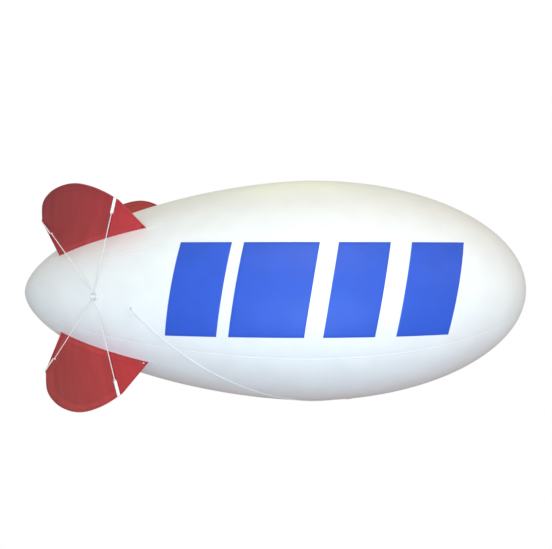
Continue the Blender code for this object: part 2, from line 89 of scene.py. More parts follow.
# Free edge from the front foot over the tip to the rear foot
# Columns: x, distance from the long axis
FIN_EDGE = (
    (-0.816, 0.546),
    (-0.953, 0.812),
    (-1.030, 0.881),
    (-1.110, 0.925),
    (-1.185, 0.939),
    (-1.268, 0.919),
    (-1.347, 0.870),
    (-1.413, 0.790),
    (-1.461, 0.654),
    (-1.444, 0.315),
)
WELT_ENDS = (-1.479, -0.781)
ROOT_LIFT = 0.0006    # Cloth's root over the round envelope, so that it stands on its welt
ROD_OUT = 0.0028      # Middle of the edge rod outside the cloth's edge

# Stays
STAY_X = -1.138
STAY_TURNS = {"top": 0, "starboard": 90, "belly": 180, "port": 270}
STAY_PATCH_RADIUS = 0.060
STRAP_BACK = 0.022    # Front strap, from where the curve of the fin's tip begins
STRAP_ROOM = 0.0012   # Between the edge sleeve and a strap
RING_RADIUS = 0.020
RING_WIRE = 0.003
RING_LIFT = 0.0056    # Ring's middle over the round envelope

# Tether harness
SIDE_PATCH_X = -0.888
SIDE_PATCH_TURN = 97.0
SIDE_PATCH_RADIUS = 0.045
TETHER_X = 0.400
BELLY_PATCH_RADIUS = 0.075
HARNESS_END_Y = 0.0178
RING_TILT = math.asin(0.08394)

# Filling valve: middle of the flange's underside, the way it faces, and its turn in degrees
VALVE_CENTRE = Vector((-1.40872, 0.09738, -0.36343))
VALVE_OUT = Vector((-0.455823, 0.230367, -0.859742))
VALVE_TURN = 195.0
VALVE_PATCH_RADIUS = 0.055

# Plain slanted blocks on each flank
# Columns: foot aft, foot fore, top aft, top fore, all stations
BLOCKS = (
    (-0.683, -0.365, -0.582, -0.268),
    (-0.294, 0.145, -0.197, 0.239),
    (0.252, 0.545, 0.346, 0.641),
    (0.665, 0.972, 0.763, 1.079),
)

PATCH_LIFT = 0.0005    # Underside of a patch over the film
UPPER_SHARE = 0.7      # Thickness of a double patch's upper film, as a share of the lower one's
CLEAR = 0.0002         # Between two pieces that lie on each other

MATH = "ShaderNodeMath"
VECTOR_MATH = "ShaderNodeVectorMath"
METRE = {"subtype": "DISTANCE", "unit": "LENGTH"}
COLOUR = {"size": 3, "min": 0, "max": 1, "subtype": "COLOR"}
BANDS = math.pi / 10    # Spacing of a wave texture's bands at scale 1


def linear(hex_colour):
    """Linear colour of an sRGB hex value."""
    shares = [int(hex_colour[i:i + 2], 16) / 255 for i in (1, 3, 5)]
    return [s / 12.92 if s <= 0.04045 else ((s + 0.055) / 1.055) ** 2.4 for s in shares]


def plug(tree, node, inputs):
    """Give a node's sockets a value, or link them to a node's first output or to a socket."""
    for key, value in inputs.items():
        if isinstance(value, bpy.types.Node):
            value = value.outputs[0]
        if isinstance(value, bpy.types.NodeSocket):
            tree.links.new(value, node.inputs[key])
        else:
            node.inputs[key].default_value = value


def add(tree, kind, inputs=None, **settings):
    """Add a node: settings are its own properties, inputs go to its sockets."""
    node = tree.nodes.new(kind)
    node.location = (190 * (len(tree.nodes) % 12), -260 * (len(tree.nodes) // 12))
    for name, value in settings.items():
        setattr(node, name, value)
    plug(tree, node, inputs or {})
    return node


# Settings

class BlimpFilmSettings(bpy.types.PropertyGroup):
    """Envelope, its welds, its patches and the blocks on its flanks."""
    film_colour: bpy.props.FloatVectorProperty(
        name="Film colour", description="Colour of the envelope's film",
        default=linear("#F1F3F1"), **COLOUR)
    block_colour: bpy.props.FloatVectorProperty(
        name="Block colour", description="Colour of the plain blocks on the flanks",
        default=linear("#2B58CA"), **COLOUR)
    weld_width: bpy.props.FloatProperty(
        name="Weld width", description="Width of the heat-sealed seam between two gores",
        default=0.010, min=0.002, max=0.05, **METRE)
    valley: bpy.props.FloatProperty(
        name="Seam valley", description="How far a seam is drawn in below the round envelope",
        default=0.0010, min=0.0, max=0.02, **METRE)
    pucker: bpy.props.FloatProperty(
        name="Pucker depth", description="Depth of the small wrinkles that run away from a seam",
        default=0.0006, min=0.0, max=0.01, **METRE)
    pucker_pitch: bpy.props.FloatProperty(
        name="Pucker pitch", description="Distance from one wrinkle to the next along a seam",
        default=0.034, min=0.005, max=0.5, **METRE)
    seed: bpy.props.IntProperty(
        name="Seed", description="Picks how the wrinkles fall", default=7, min=0)
    wall: bpy.props.FloatProperty(
        name="Wall", description="Thickness of the envelope's shell",
        default=0.010, min=0.001, max=0.03, **METRE)
    block_top: bpy.props.FloatProperty(
        name="Block top", description="Height of the blocks' upper edge above the long axis",
        default=0.315, **METRE)
    block_foot: bpy.props.FloatProperty(
        name="Block foot", description="Height of the blocks' lower edge above the long axis",
        default=-0.229, **METRE)
    patch: bpy.props.FloatProperty(
        name="Patch thickness", description="Thickness of the doubled film of a patch",
        default=0.0009, min=0.0002, max=0.005, **METRE)


class BlimpFinSettings(bpy.types.PropertyGroup):
    """Cloth fins and their sewing."""
    # The rear red and the front red differ by painted shade and light, not by the cloth: the rear red carries
    # painted shade where the cloth hangs slack
    cloth_colour: bpy.props.FloatVectorProperty(
        name="Cloth colour", description="Colour of the cloth at the slack rear of a fin",
        default=linear("#903937"), **COLOUR)
    front_colour: bpy.props.FloatVectorProperty(
        name="Front colour", description="Colour of the cloth ahead of the front stay",
        default=linear("#C0373A"), **COLOUR)
    thread_colour: bpy.props.FloatVectorProperty(
        name="Thread colour", description="Colour of the sewing thread",
        default=linear("#8C2A2E"), **COLOUR)
    bulge: bpy.props.FloatProperty(
        name="Bulge", description="How far the middle of the cloth stands out of its plane",
        default=0.009, min=0.0, max=0.05, **METRE)
    cloth: bpy.props.FloatProperty(
        name="Cloth thickness", description="Thickness of the single cloth",
        default=0.0008, min=0.0002, max=0.003, **METRE)
    hem: bpy.props.FloatProperty(
        name="Hem thickness", description="Thickness of the doubled cloth",
        default=0.0022, min=0.0005, max=0.006, **METRE)
    hem_width: bpy.props.FloatProperty(
        name="Hem width", description="Width of the doubled band round a fin",
        default=0.042, min=0.01, max=0.1, **METRE)
    bead: bpy.props.FloatProperty(
        name="Edge bead", description="Radius of the sleeve round the edge rod",
        default=0.0042, min=0.001, max=0.01, **METRE)
    stitch_pitch: bpy.props.FloatProperty(
        name="Stitch pitch", description="Distance from one stitch to the next",
        default=0.009, min=0.002, max=0.05, **METRE)
    stitch_length: bpy.props.FloatProperty(
        name="Stitch length", description="Length of one stitch",
        default=0.0065, min=0.001, max=0.05, **METRE)


class BlimpRiggingSettings(bpy.types.PropertyGroup):
    """Straps, cords, rings and the valve."""
    tape_colour: bpy.props.FloatVectorProperty(
        name="Tape colour", description="Colour of the woven tape",
        default=linear("#F3F2EE"), **COLOUR)
    cord_colour: bpy.props.FloatVectorProperty(
        name="Cord colour", description="Colour of the braided cord",
        default=linear("#F1EFEC"), **COLOUR)
    metal_colour: bpy.props.FloatVectorProperty(
        name="Metal colour", description="Colour of the zinc-plated wire",
        default=linear("#DCDFE1"), **COLOUR)
    plastic_colour: bpy.props.FloatVectorProperty(
        name="Valve colour", description="Colour of the valve's plastic",
        default=linear("#E6E8E8"), **COLOUR)
    tape: bpy.props.FloatProperty(
        name="Tape thickness", description="Thickness of the woven tape",
        default=0.0016, min=0.0005, max=0.004, **METRE)
    tape_width: bpy.props.FloatProperty(
        name="Tape width", description="Width of the straps on the fins",
        default=0.018, min=0.005, max=0.05, **METRE)
    strap_length: bpy.props.FloatProperty(
        name="Strap length", description="Length of a strap's leg on one face of a fin",
        default=0.090, min=0.02, max=0.3, **METRE)
    cord: bpy.props.FloatProperty(
        name="Cord radius", description="Radius of the stay lines and the harness lines",
        default=0.0024, min=0.0005, max=0.01, **METRE)
    ribs: bpy.props.IntProperty(
        name="Lid ribs", description="Number of grip ribs round the valve's lid",
        default=36, min=6, max=120)


class BlimpStageSettings(bpy.types.PropertyGroup):
    """Camera, floor and lights."""
    lens: bpy.props.FloatProperty(
        name="Lens", description="Focal length of the camera", default=42.47, min=10, max=300,
        subtype="DISTANCE_CAMERA", unit="CAMERA")
    distance: bpy.props.FloatProperty(
        name="Distance", description="Distance from the camera to the point that it looks at",
        default=4.3705, min=0.5, **METRE)
    yaw: bpy.props.FloatProperty(
        name="Yaw", description="How far the camera stands towards the nose", default=0.0790,
        subtype="ANGLE", unit="ROTATION")
    rise: bpy.props.FloatProperty(
        name="Rise", description="How far the camera stands above the point that it looks at",
        default=0.0363, subtype="ANGLE", unit="ROTATION")
    roll: bpy.props.FloatProperty(
        name="Roll", description="Roll of the camera about its line of sight", default=-0.0111,
        subtype="ANGLE", unit="ROTATION")
    target: bpy.props.FloatVectorProperty(
        name="Target", description="Point that the camera looks at", default=(-0.0646, 0.0, 0.1063),
        size=3, subtype="XYZ", unit="LENGTH")
    floor_height: bpy.props.FloatProperty(
        name="Floor height", description="Height of the floor", default=-2.2, **METRE)


# Materials

def start_material(name, colour, constants):
    """New material: its tree, its Principled shader and its texture coordinates."""
    material = bpy.data.materials.new(name)
    material.use_nodes = True
    tree = material.node_tree
    shader = tree.nodes["Principled BSDF"]
    plug(tree, shader, {"Base Color": (*colour, 1.0), **constants})
    return material, tree, shader, add(tree, "ShaderNodeTexCoord")


def shade_between(tree, shader, factor, colour, share, low=0.35, high=0.65):
    """Base colour that a pattern darkens by a share of itself where its factor is low."""
    spread = add(tree, "ShaderNodeMapRange", {0: factor, 1: low, 2: high})
    dark = (*(c * (1 - share) for c in colour), 1.0)
    mix = add(tree, "ShaderNodeMix", {0: spread, 6: dark, 7: (*colour, 1.0)}, data_type="RGBA")
    plug(tree, shader, {"Base Color": mix.outputs[2]})


def stretched_skin(tree, shader, spot, colour, size, share):
    """Clouding of a given size where film was stretched, and the bump of its orange peel."""
    cloud = add(tree, "ShaderNodeTexNoise", {"Vector": spot, "Scale": 1 / size, "Detail": 3.0})
    shade_between(tree, shader, cloud, colour, share)
    # Orange peel of about 2 mm, drawn at 7 mm to show
    peel = add(tree, "ShaderNodeTexNoise", {"Vector": spot, "Scale": 1 / 0.007, "Detail": 2.0})
    return cloud, add(tree, "ShaderNodeBump", {"Strength": 0.10, "Distance": 0.0004, "Height": peel})


def pvc_film(name, colour, embossed):
    """Calendered PVC film, inflated tight: a satin white skin, slightly clouded, with a soft orange peel."""
    material, tree, shader, place = start_material(name, colour, {"IOR": 1.53})
    spot = place.outputs["Object"]
    cloud, bump = stretched_skin(tree, shader, spot, colour, 0.14, 0.035)
    gloss = add(tree, "ShaderNodeMapRange", {0: cloud, 3: 0.38, 4: 0.47})
    if embossed:
        # Cross bars of the sealing iron, 3 mm apart, drawn 6 mm apart to show
        bars = add(tree, "ShaderNodeTexWave", {"Vector": spot, "Scale": BANDS / 0.006},
                   wave_type="BANDS", bands_direction="X")
        bump = add(tree, "ShaderNodeBump", {
            "Strength": 0.25, "Distance": 0.0003, "Height": bars, "Normal": bump})
    plug(tree, shader, {"Roughness": gloss, "Normal": bump})
    return material


def cut_vinyl(name, colour):
    """Matt cut vinyl pressed on the film: even blue, duller than the film round it, faintly clouded."""
    material, tree, shader, place = start_material(
        name, colour, {"Roughness": 0.5, "IOR": 1.53, "Specular IOR Level": 0.36})
    _, bump = stretched_skin(tree, shader, place.outputs["Object"], colour, 0.11, 0.06)
    plug(tree, shader, {"Normal": bump})
    return material


def fin_reds(tree, place, rear, front):
    """Red over a fin, its painted shade and its share of the front red: painted shade makes the red dull
    where the cloth hangs slack at the rear, and painted light makes it bright ahead of the front stay."""
    spot = add(tree, "ShaderNodeSeparateXYZ", {0: place.outputs["UV"]})
    # Lines in the fin's plan, as slope and shift: the two stay lines, and the slack part's upper end
    front_stay, rear_stay, slack_end = (-0.414, 1.308), (0.155, 1.360), (-0.77, 2.06)

    def ahead_of(slope, shift):
        """Distance ahead of a line that slants over the fin."""
        line = add(tree, MATH, {0: spot.outputs["Y"], 1: slope, 2: shift}, operation="MULTIPLY_ADD")
        return add(tree, MATH, {0: spot.outputs["X"], 1: line})

    # Painted shade and light: the slack rear takes the darker rear red, and the cloth ahead of the front stay
    # takes the bright front red
    slack = add(tree, "ShaderNodeMapRange", {0: ahead_of(*slack_end), 1: 0.0, 2: 0.64, 3: 0.0, 4: 0.75})
    painted_front_light = add(tree, "ShaderNodeMapRange", {0: ahead_of(*front_stay), 1: -0.026, 2: 0.010})
    share = add(tree, MATH, {0: slack, 1: painted_front_light}, operation="MAXIMUM")
    red = add(tree, "ShaderNodeMix", {0: share, 6: (*rear, 1.0), 7: (*front, 1.0)}, data_type="RGBA")
    # Painted shade and light of soft folds along the front stay, about 40 mm apart
    run = add(tree, "ShaderNodeCombineXYZ", {0: ahead_of(-0.36, 0.0), 1: spot.outputs["Y"]})
    stretched = add(tree, VECTOR_MATH, {0: run, 1: (24.0, 2.5, 1.0)}, operation="MULTIPLY")
    painted_fold_shade = add(tree, "ShaderNodeTexNoise", {"Vector": stretched, "Scale": 1.0, "Detail": 2.0})
    shade = add(tree, "ShaderNodeMapRange", {0: painted_fold_shade, 1: 0.3, 2: 0.7, 3: 0.92, 4: 1.08})
    # Painted shade along the two stay lines, down to two thirds of the red, as in creases that they press
    # into the cloth
    for line, middle in ((front_stay, 0.003), (rear_stay, -0.011)):
        away = add(tree, MATH, {0: ahead_of(*line), 1: middle}, operation="SUBTRACT")
        size = add(tree, MATH, {0: away}, operation="ABSOLUTE")
        painted_crease_shade = add(tree, "ShaderNodeMapRange", {0: size, 1: 0.001, 2: 0.008, 3: 0.66, 4: 1.0})
        shade = add(tree, MATH, {0: shade, 1: painted_crease_shade}, operation="MULTIPLY")
    # Painted light and shade: the port fins are painted up to 35 % brighter, and ahead of the front stay the
    # lower fins are painted up to 14 % darker
    spot = add(tree, "ShaderNodeSeparateXYZ", {0: place.outputs["Object"]})
    painted_port_light = add(tree, "ShaderNodeMapRange", {0: spot.outputs["Y"], 1: 0.0, 2: 0.3, 3: 1.0, 4: 1.35})
    painted_low_shade = add(tree, "ShaderNodeMapRange", {0: spot.outputs["Z"], 1: -0.2, 2: 0.2, 3: 0.86, 4: 1.0})
    front_tone = add(tree, "ShaderNodeMapRange", {0: share, 1: 0.76, 2: 1.0, 3: 1.0, 4: painted_low_shade})
    tone = add(tree, MATH, {0: painted_port_light, 1: front_tone}, operation="MULTIPLY")
    shade = add(tree, MATH, {0: shade, 1: tone}, operation="MULTIPLY")
    return red.outputs[2], shade, share


def taffeta(name, rear, front, doubled):
    """Coated nylon taffeta: dull red, half matt, with the painted shade of soft folds and a faint thread
    grid. Doubled, it is brighter, with painted light that makes it brighter on the lower fins than high up."""
    material, tree, shader, place = start_material(name, rear, {
        "Roughness": 0.58 if doubled else 0.62, "Sheen Weight": 0.08, "Sheen Roughness": 0.5,
        "Specular IOR Level": 0.25})
    red, shade, share = fin_reds(tree, place, rear, front)
    if doubled:
        # Painted light on the doubled hem behind the front stay: brighter low down, a little darker high up
        spot = add(tree, "ShaderNodeSeparateXYZ", {0: place.outputs["Object"]})
        low = add(tree, "ShaderNodeMapRange", {0: spot.outputs["Z"], 1: 0.35, 2: 0.60, 3: 1.15, 4: 0.97})
        painted_hem_light = add(tree, "ShaderNodeMapRange", {0: share, 1: 0.70, 2: 1.0, 3: low, 4: 1.02})
        shade = add(tree, MATH, {0: shade, 1: painted_hem_light}, operation="MULTIPLY")
    hue = add(tree, "ShaderNodeHueSaturation", {"Value": shade, "Color": red})
    # Plain weave of 0.3 mm threads, drawn at 4.4 mm to show
    warp, weft = (add(tree, "ShaderNodeTexWave", {"Vector": place.outputs["UV"], "Scale": BANDS / 0.0044},
                      bands_direction=way) for way in "XY")
    weave = add(tree, MATH, {0: warp.outputs["Fac"], 1: weft.outputs["Fac"]}, operation="MULTIPLY")
    bump = add(tree, "ShaderNodeBump", {"Strength": 0.35, "Distance": 0.0004, "Height": weave})
    plug(tree, shader, {"Base Color": hue, "Normal": bump})
    return material


def polyester_tape(name, colour):
    """Woven polyester tape: matt white ribs across the tape, with painted grey shade in the hollows."""
    material, tree, shader, place = start_material(
        name, colour, {"Roughness": 0.75, "Sheen Weight": 0.2, "Sheen Roughness": 0.4})
    # Weft ribs 1.1 mm apart and warp cords 1.8 mm apart, both drawn twice as wide to show
    ribs, cords = (add(tree, "ShaderNodeTexWave", {"Vector": place.outputs["UV"], "Scale": BANDS / pitch},
                       bands_direction=way) for way, pitch in (("Y", 0.0022), ("X", 0.0036)))
    weave = add(tree, MATH, {0: ribs.outputs["Fac"], 1: cords.outputs["Fac"]}, operation="ADD")
    half = add(tree, MATH, {0: weave, 1: 0.5}, operation="MULTIPLY")
    # Painted shade: the tape's colour is darkened by a tenth in the hollows of the weave
    shade_between(tree, shader, half, colour, 0.10, 0.1, 0.7)
    bump = add(tree, "ShaderNodeBump", {"Strength": 0.5, "Distance": 0.0003, "Height": half})
    plug(tree, shader, {"Normal": bump})
    return material


def braided_cord(name, colour):
    """Braided polyester cord: white strands that cross at a slant, with painted grey shade where they dip."""
    material, tree, shader, place = start_material(
        name, colour, {"Roughness": 0.68, "Sheen Weight": 0.25, "Sheen Roughness": 0.4})
    spot = add(tree, "ShaderNodeSeparateXYZ", {0: place.outputs["UV"]})
    waves = []
    for sign in ("ADD", "SUBTRACT"):
        # Four strands each way round the cord
        slant = add(tree, MATH, {0: spot.outputs["X"], 1: spot.outputs["Y"]}, operation=sign)
        angle = add(tree, MATH, {0: slant, 1: 4 * 2 * math.pi}, operation="MULTIPLY")
        waves.append(add(tree, MATH, {0: angle}, operation="SINE"))
    braid = add(tree, MATH, dict(enumerate(waves)), operation="MULTIPLY")
    height = add(tree, "ShaderNodeMapRange", {0: braid, 1: -1.0, 2: 1.0})
    # Painted shade: the cord's colour is darkened by about a fifth where the strands dip
    shade_between(tree, shader, height, colour, 0.22, 0.1, 0.6)
    bump = add(tree, "ShaderNodeBump", {"Strength": 0.6, "Distance": 0.0005, "Height": height})
    plug(tree, shader, {"Normal": bump})
    return material


def sewing_thread(name, colour):
    """Spun polyester thread: a soft sheen and a slight change of tone from stitch to stitch."""
    material, tree, shader, place = start_material(
        name, colour, {"Roughness": 0.6, "Sheen Weight": 0.3, "Sheen Roughness": 0.4})
    tone = add(tree, "ShaderNodeTexNoise", {"Vector": place.outputs["Object"], "Scale": 1 / 0.02})
    shade_between(tree, shader, tone, colour, 0.2)
    return material


def zinc_wire(name, colour):
    """Zinc-plated steel wire: bright blue-grey metal with 2.5 mm spangle and duller spots of 6 mm."""
    material, tree, shader, place = start_material(name, colour, {"Metallic": 0.4})
    spot = place.outputs["Object"]
    spangle = add(tree, "ShaderNodeTexVoronoi", {"Vector": spot, "Scale": 1 / 0.0025})
    shade_between(tree, shader, spangle.outputs["Distance"], colour, 0.16, 0.1, 0.6)
    dull = add(tree, "ShaderNodeTexNoise", {"Vector": spot, "Scale": 1 / 0.006, "Detail": 3.0})
    rough = add(tree, "ShaderNodeMapRange", {0: dull, 1: 0.35, 2: 0.65, 3: 0.32, 4: 0.50})
    plug(tree, shader, {"Roughness": rough})
    return material


def dark_brass(name, colour):
    """Blackened brass eyelet: dark brown metal, rubbed brighter in spots of 3 mm."""
    material, tree, shader, place = start_material(name, colour, {"Metallic": 0.9, "Roughness": 0.45})
    rub = add(tree, "ShaderNodeTexNoise",
              {"Vector": place.outputs["Object"], "Scale": 1 / 0.003, "Detail": 2.0})
    shade_between(tree, shader, rub, colour, 0.5)
    return material


def moulded_plastic(name, colour):
    """Injection-moulded PVC: off-white, half gloss, with the fine spark-eroded texture of its mould."""
    material, tree, shader, place = start_material(name, colour, {"Roughness": 0.38, "IOR": 1.53})
    spot = place.outputs["Object"]
    # Flow clouds of 20 mm
    flow = add(tree, "ShaderNodeTexNoise", {"Vector": spot, "Scale": 1 / 0.02, "Detail": 2.0})
    shade_between(tree, shader, flow, colour, 0.05)
    # Grain of 0.4 mm
    grain = add(tree, "ShaderNodeTexNoise", {"Vector": spot, "Scale": 1 / 0.0004})
    bump = add(tree, "ShaderNodeBump", {"Strength": 0.15, "Distance": 0.0002, "Height": grain})
    plug(tree, shader, {"Normal": bump})
    return material


def finish(name):
    """Material of that name, made on its first use."""
    known = bpy.data.materials.get(name)
    if known:
        return known
    scene = bpy.context.scene
    film, fin, rig = scene.blimp_film, scene.blimp_fin, scene.blimp_rigging
    make, *given = {
        "calendered_pvc_film": (pvc_film, film.film_colour, False),
        "heat_sealed_film": (pvc_film, film.film_colour, True),
        "cut_vinyl": (cut_vinyl, film.block_colour),
        "nylon_taffeta": (taffeta, fin.cloth_colour, fin.front_colour, False),
        "doubled_taffeta": (taffeta, fin.cloth_colour, fin.front_colour, True),
        "polyester_thread": (sewing_thread, fin.thread_colour),
        "white_thread": (sewing_thread, linear("#D9D6CF")),
        "polyester_tape": (polyester_tape, rig.tape_colour),
        "braided_polyester": (braided_cord, rig.cord_colour),
        "zinc_plated_wire": (zinc_wire, rig.metal_colour),
        "blackened_brass": (dark_brass, linear("#3A322C")),
        "moulded_pvc": (moulded_plastic, rig.plastic_colour),
    }[name]
    return make(name, *given)


# Envelope's shape

def hull_radius(x):
    """Radius of the inflated envelope at a station."""
    if x >= WIDEST_X:
        t = min(1.0, (x - WIDEST_X) / (NOSE_X - WIDEST_X))
        return HULL_RADIUS * math.sqrt(1 - t * t)
    t = min(1.0, (WIDEST_X - x) / (WIDEST_X - TAIL_X))
    return HULL_RADIUS * (1 - t ** TAIL_POWER) ** TAIL_FULLNESS


def around(x, radius, turn):
    """Point at a radius and a turn, in radians, about the long axis."""
    return Vector((x, -radius * math.sin(turn), radius * math.cos(turn)))


def outward(x, turn):
    """Direction square to the round envelope."""
    step = 0.0005
    slope = (hull_radius(x + step) - hull_radius(x - step)) / (2 * step)
    return (around(0.0, 1.0, turn) - Vector((slope, 0.0, 0.0))).normalized()


def on_hull(x, turn, lift):
    """Point at a height above the round envelope."""
    return around(x, hull_radius(x), turn) + outward(x, turn) * lift


def axes(origin, x_axis, y_axis):
    """Frame from an origin and two square axes."""
    matrix = Matrix((x_axis, y_axis, x_axis.cross(y_axis))).transposed().to_4x4()
    matrix.translation = origin
    return matrix


def seat(x, turn, lift):
    """Frame on the envelope: +Z outward, +X forward along the film, +Y across it."""
    across = Vector((0.0, math.cos(turn), math.sin(turn)))
    return axes(on_hull(x, turn, lift), across.cross(outward(x, turn)), across)


class Skin:
    """Outer surface of the six film gores, seams and wrinkles included."""

    def __init__(self):
        points, faces = [], []
        for name in GORE_NAMES:
            mesh = bpy.data.objects["film_gore_" + name].data
            faces += [[v + len(points) for v in p.vertices] for p in mesh.polygons]
            points += [v.co.copy() for v in mesh.vertices]
        self.tree = BVHTree.FromPolygons(points, faces)

    def at(self, x, turn, lift):
        """Point at a height above the film at a station and a turn in radians."""
        out, round_hull, reach = outward(x, turn), around(x, hull_radius(x), turn), 0.04
        hit = self.tree.ray_cast(round_hull + out * reach, -out, 2 * reach)[0]
        # A ray that falls between two gores takes the round envelope
        return (round_hull if hit is None else hit) + out * lift


# Mesh tools

def new_piece(name, points, faces, corner_uvs=None):
    """Mesh object from points and faces; the UVs, if any, follow the faces' corners."""
    mesh = bpy.data.meshes.new(name)
    mesh.from_pydata([tuple(p) for p in points], [], faces)
    if corner_uvs is not None:
        layer = mesh.uv_layers.new(name="weave")
        layer.data.foreach_set("uv", np.array(corner_uvs, dtype=float).ravel())
    piece = bpy.data.objects.new(name, mesh)
    bpy.context.scene.collection.objects.link(piece)
    return piece


def thicken(piece, thickness, offset, bevel=0.0):
    """Give a sheet its thickness and, if wanted, a rounded rim."""
    wall = piece.modifiers.new("wall", "SOLIDIFY")
    wall.thickness = thickness
    wall.offset = offset
    wall.use_even_offset = True
    if bevel:
        rim = piece.modifiers.new("rim", "BEVEL")
        rim.width = bevel
        rim.segments = 2
        rim.limit_method = "ANGLE"
        rim.angle_limit = math.radians(60)
    bpy.context.view_layer.update()
    graph = bpy.context.evaluated_depsgraph_get()
    mesh = bpy.data.meshes.new_from_object(
        piece.evaluated_get(graph), preserve_all_data_layers=True, depsgraph=graph)
    piece.modifiers.clear()
    piece.data = mesh
    return piece


def round_angles(count):
    """Even angles that go once round, in radians."""
    return [2 * math.pi * i / count for i in range(count)]


def loft(name, rings, loop=False, scale=1.0):
    """Closed skin through rings of points. UV: distance round and distance along, each times the scale."""
    count, sides = len(rings), len(rings[0])

    def distances(path):
        """Distance along a closed path at each of its points, and at its end."""
        run = [0.0]
        for a, b in zip(path, path[1:] + path[:1]):
            run.append(run[-1] + (b - a).length)
        return [d * scale for d in run]

    u = distances(rings[count // 2])
    v = distances([sum(ring, Vector()) / sides for ring in rings])
    faces, uvs = [], []
    for i in range(count if loop else count - 1):
        near, far = i * sides, (i + 1) % count * sides
        for j in range(sides):
            k = (j + 1) % sides
            faces.append((near + j, near + k, far + k, far + j))
            uvs += [(u[j], v[i]), (u[j + 1], v[i]), (u[j + 1], v[i + 1]), (u[j], v[i + 1])]
    if not loop:
        for i, order in ((0, range(sides)[::-1]), (count - 1, range(sides))):
            faces.append(tuple(i * sides + j for j in order))
            uvs += [(u[j], v[i]) for j in order]
    return new_piece(name, [p for ring in rings for p in ring], faces, uvs)


def carried_frames(points, loop=False):
    """Tangent, side and up at each point of a path, carried along it without twist."""
    count = len(points)
    tangents = []
    for i in range(count):
        before = points[i - 1] if i or loop else points[0]
        after = points[(i + 1) % count] if i < count - 1 or loop else points[-1]
        tangents.append((after - before).normalized())
    side = tangents[0].orthogonal().normalized()
    frames = []
    for i, tangent in enumerate(tangents):
        if i:
            side = tangents[i - 1].rotation_difference(tangent) @ side
        side = (side - tangent * side.dot(tangent)).normalized()
        frames.append((tangent, side, tangent.cross(side)))
    if loop:
        closing = tangents[-1].rotation_difference(tangents[0]) @ side
        twist = math.atan2(closing.dot(frames[0][2]), closing.dot(frames[0][1]))
        for i, (tangent, side, _) in enumerate(frames):
            side = Matrix.Rotation(-twist * i / count, 3, tangent) @ side
            frames[i] = (tangent, side, tangent.cross(side))
    return frames


def tube(name, path, radius, sides=10, loop=False):
    """Round bar or cord along a path, with domed ends. UV: in turns of its girth."""
    path = [Vector(p) for p in path]
    frames = carried_frames(path, loop)
    angles = round_angles(sides)

    def ring(middle, basis, size):
        _, side, up = basis
        return [middle + (side * math.cos(a) + up * math.sin(a)) * size for a in angles]

    rings = [ring(p, basis, radius) for p, basis in zip(path, frames)]
    if not loop:
        # Two rings dome each end, at these angles from its rim
        for angle in (0.8, 1.3):
            size, reach = radius * math.cos(angle), radius * math.sin(angle)
            rings.insert(0, ring(path[0] - frames[0][0] * reach, frames[0], size))
            rings.append(ring(path[-1] + frames[-1][0] * reach, frames[-1], size))
    return loft(name, rings, loop, 1 / (2 * math.pi * radius))


def tape(name, sections, width, thickness):
    """Flat tape with rounded edges through sections of (middle, direction across)."""
    frames = carried_frames([Vector(middle) for middle, _ in sections])
    half, rise, edge = width / 2, thickness / 2, 0.35 * thickness
    outline = ((half, -rise + edge), (half, rise - edge), (half - edge, rise), (edge - half, rise),
               (-half, rise - edge), (-half, edge - rise), (edge - half, -rise), (half - edge, -rise))
    rings = []
    for (middle, across), (tangent, _, _) in zip(sections, frames):
        across = (across - tangent * across.dot(tangent)).normalized()
        out = tangent.cross(across)
        rings.append([middle + across * a + out * b for a, b in outline])
    return loft(name, rings)


def lathe(name, profile, matrix, sides=48, loop=False):
    """Body turned about a frame's Z axis from (radius, height) pairs."""
    rings = [[matrix @ Vector((r * math.cos(a), r * math.sin(a), h)) for a in round_angles(sides)]
             for r, h in profile]
    return loft(name, rings, loop)


def bar(name, low, high, matrix, bevel):
    """Rounded block between two corners given in a frame."""
    low, high = Vector(low), Vector(high)
    solid = bmesh.new()
    bmesh.ops.create_cube(solid, size=1.0)
    solid.transform(Matrix.Translation((low + high) / 2) @ Matrix.Diagonal((*(high - low), 1.0)))
    bmesh.ops.bevel(solid, geom=solid.edges, offset=bevel, segments=2, profile=0.5, affect="EDGES")
    solid.transform(matrix)
    piece = new_piece(name, [], [])
    solid.to_mesh(piece.data)
    solid.free()
    return piece


def join(name, pieces):
    """Make several meshes one piece."""
    with bpy.context.temp_override(active_object=pieces[0], selected_editable_objects=pieces):
        bpy.ops.object.join()
    pieces[0].name = name
    return pieces[0]


def turned(piece, turn):
    """Turn a piece's mesh about the long axis, in degrees."""
    piece.data.transform(Matrix.Rotation(math.radians(turn), 4, "X"))
    return piece


def hand_over(piece, material, stands_for=(), body="envelope", sharp=40):
    """Give a finished piece its material and its body, and hide the solids that it stands for."""
    mesh = piece.data
    if material:
        mesh.materials.clear()
        mesh.materials.append(finish(material))
    mesh.shade_smooth()
    mesh.set_sharp_from_angle(angle=math.radians(sharp))
    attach(piece, body)
    if stands_for:
        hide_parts(*stands_for)
    return piece


def face_out(piece, thickness):
    """Turn a laid sheet's faces away from the long axis, then thicken it inwards."""
    first = piece.data.polygons[0]
    if first.normal.dot(first.center * Vector((0, 1, 1))) < 0:
        piece.data.flip_normals()
    return thicken(piece, thickness, offset=-1.0, bevel=thickness * 0.3)


def film_strip(name, skin, rows, lift, thickness):
    """Film laid over rows of (station, turn in radians): on the wrinkled skin, or on the round hull."""
    seat_on = skin.at if skin else on_hull
    points = [seat_on(x, turn, lift + thickness) for row in rows for x, turn in row]
    width = len(rows[0])
    corners = [i * width + j for i in range(len(rows) - 1) for j in range(width - 1)]
    faces = [(a, a + 1, a + width + 1, a + width) for a in corners]
    return face_out(new_piece(name, points, faces), thickness)


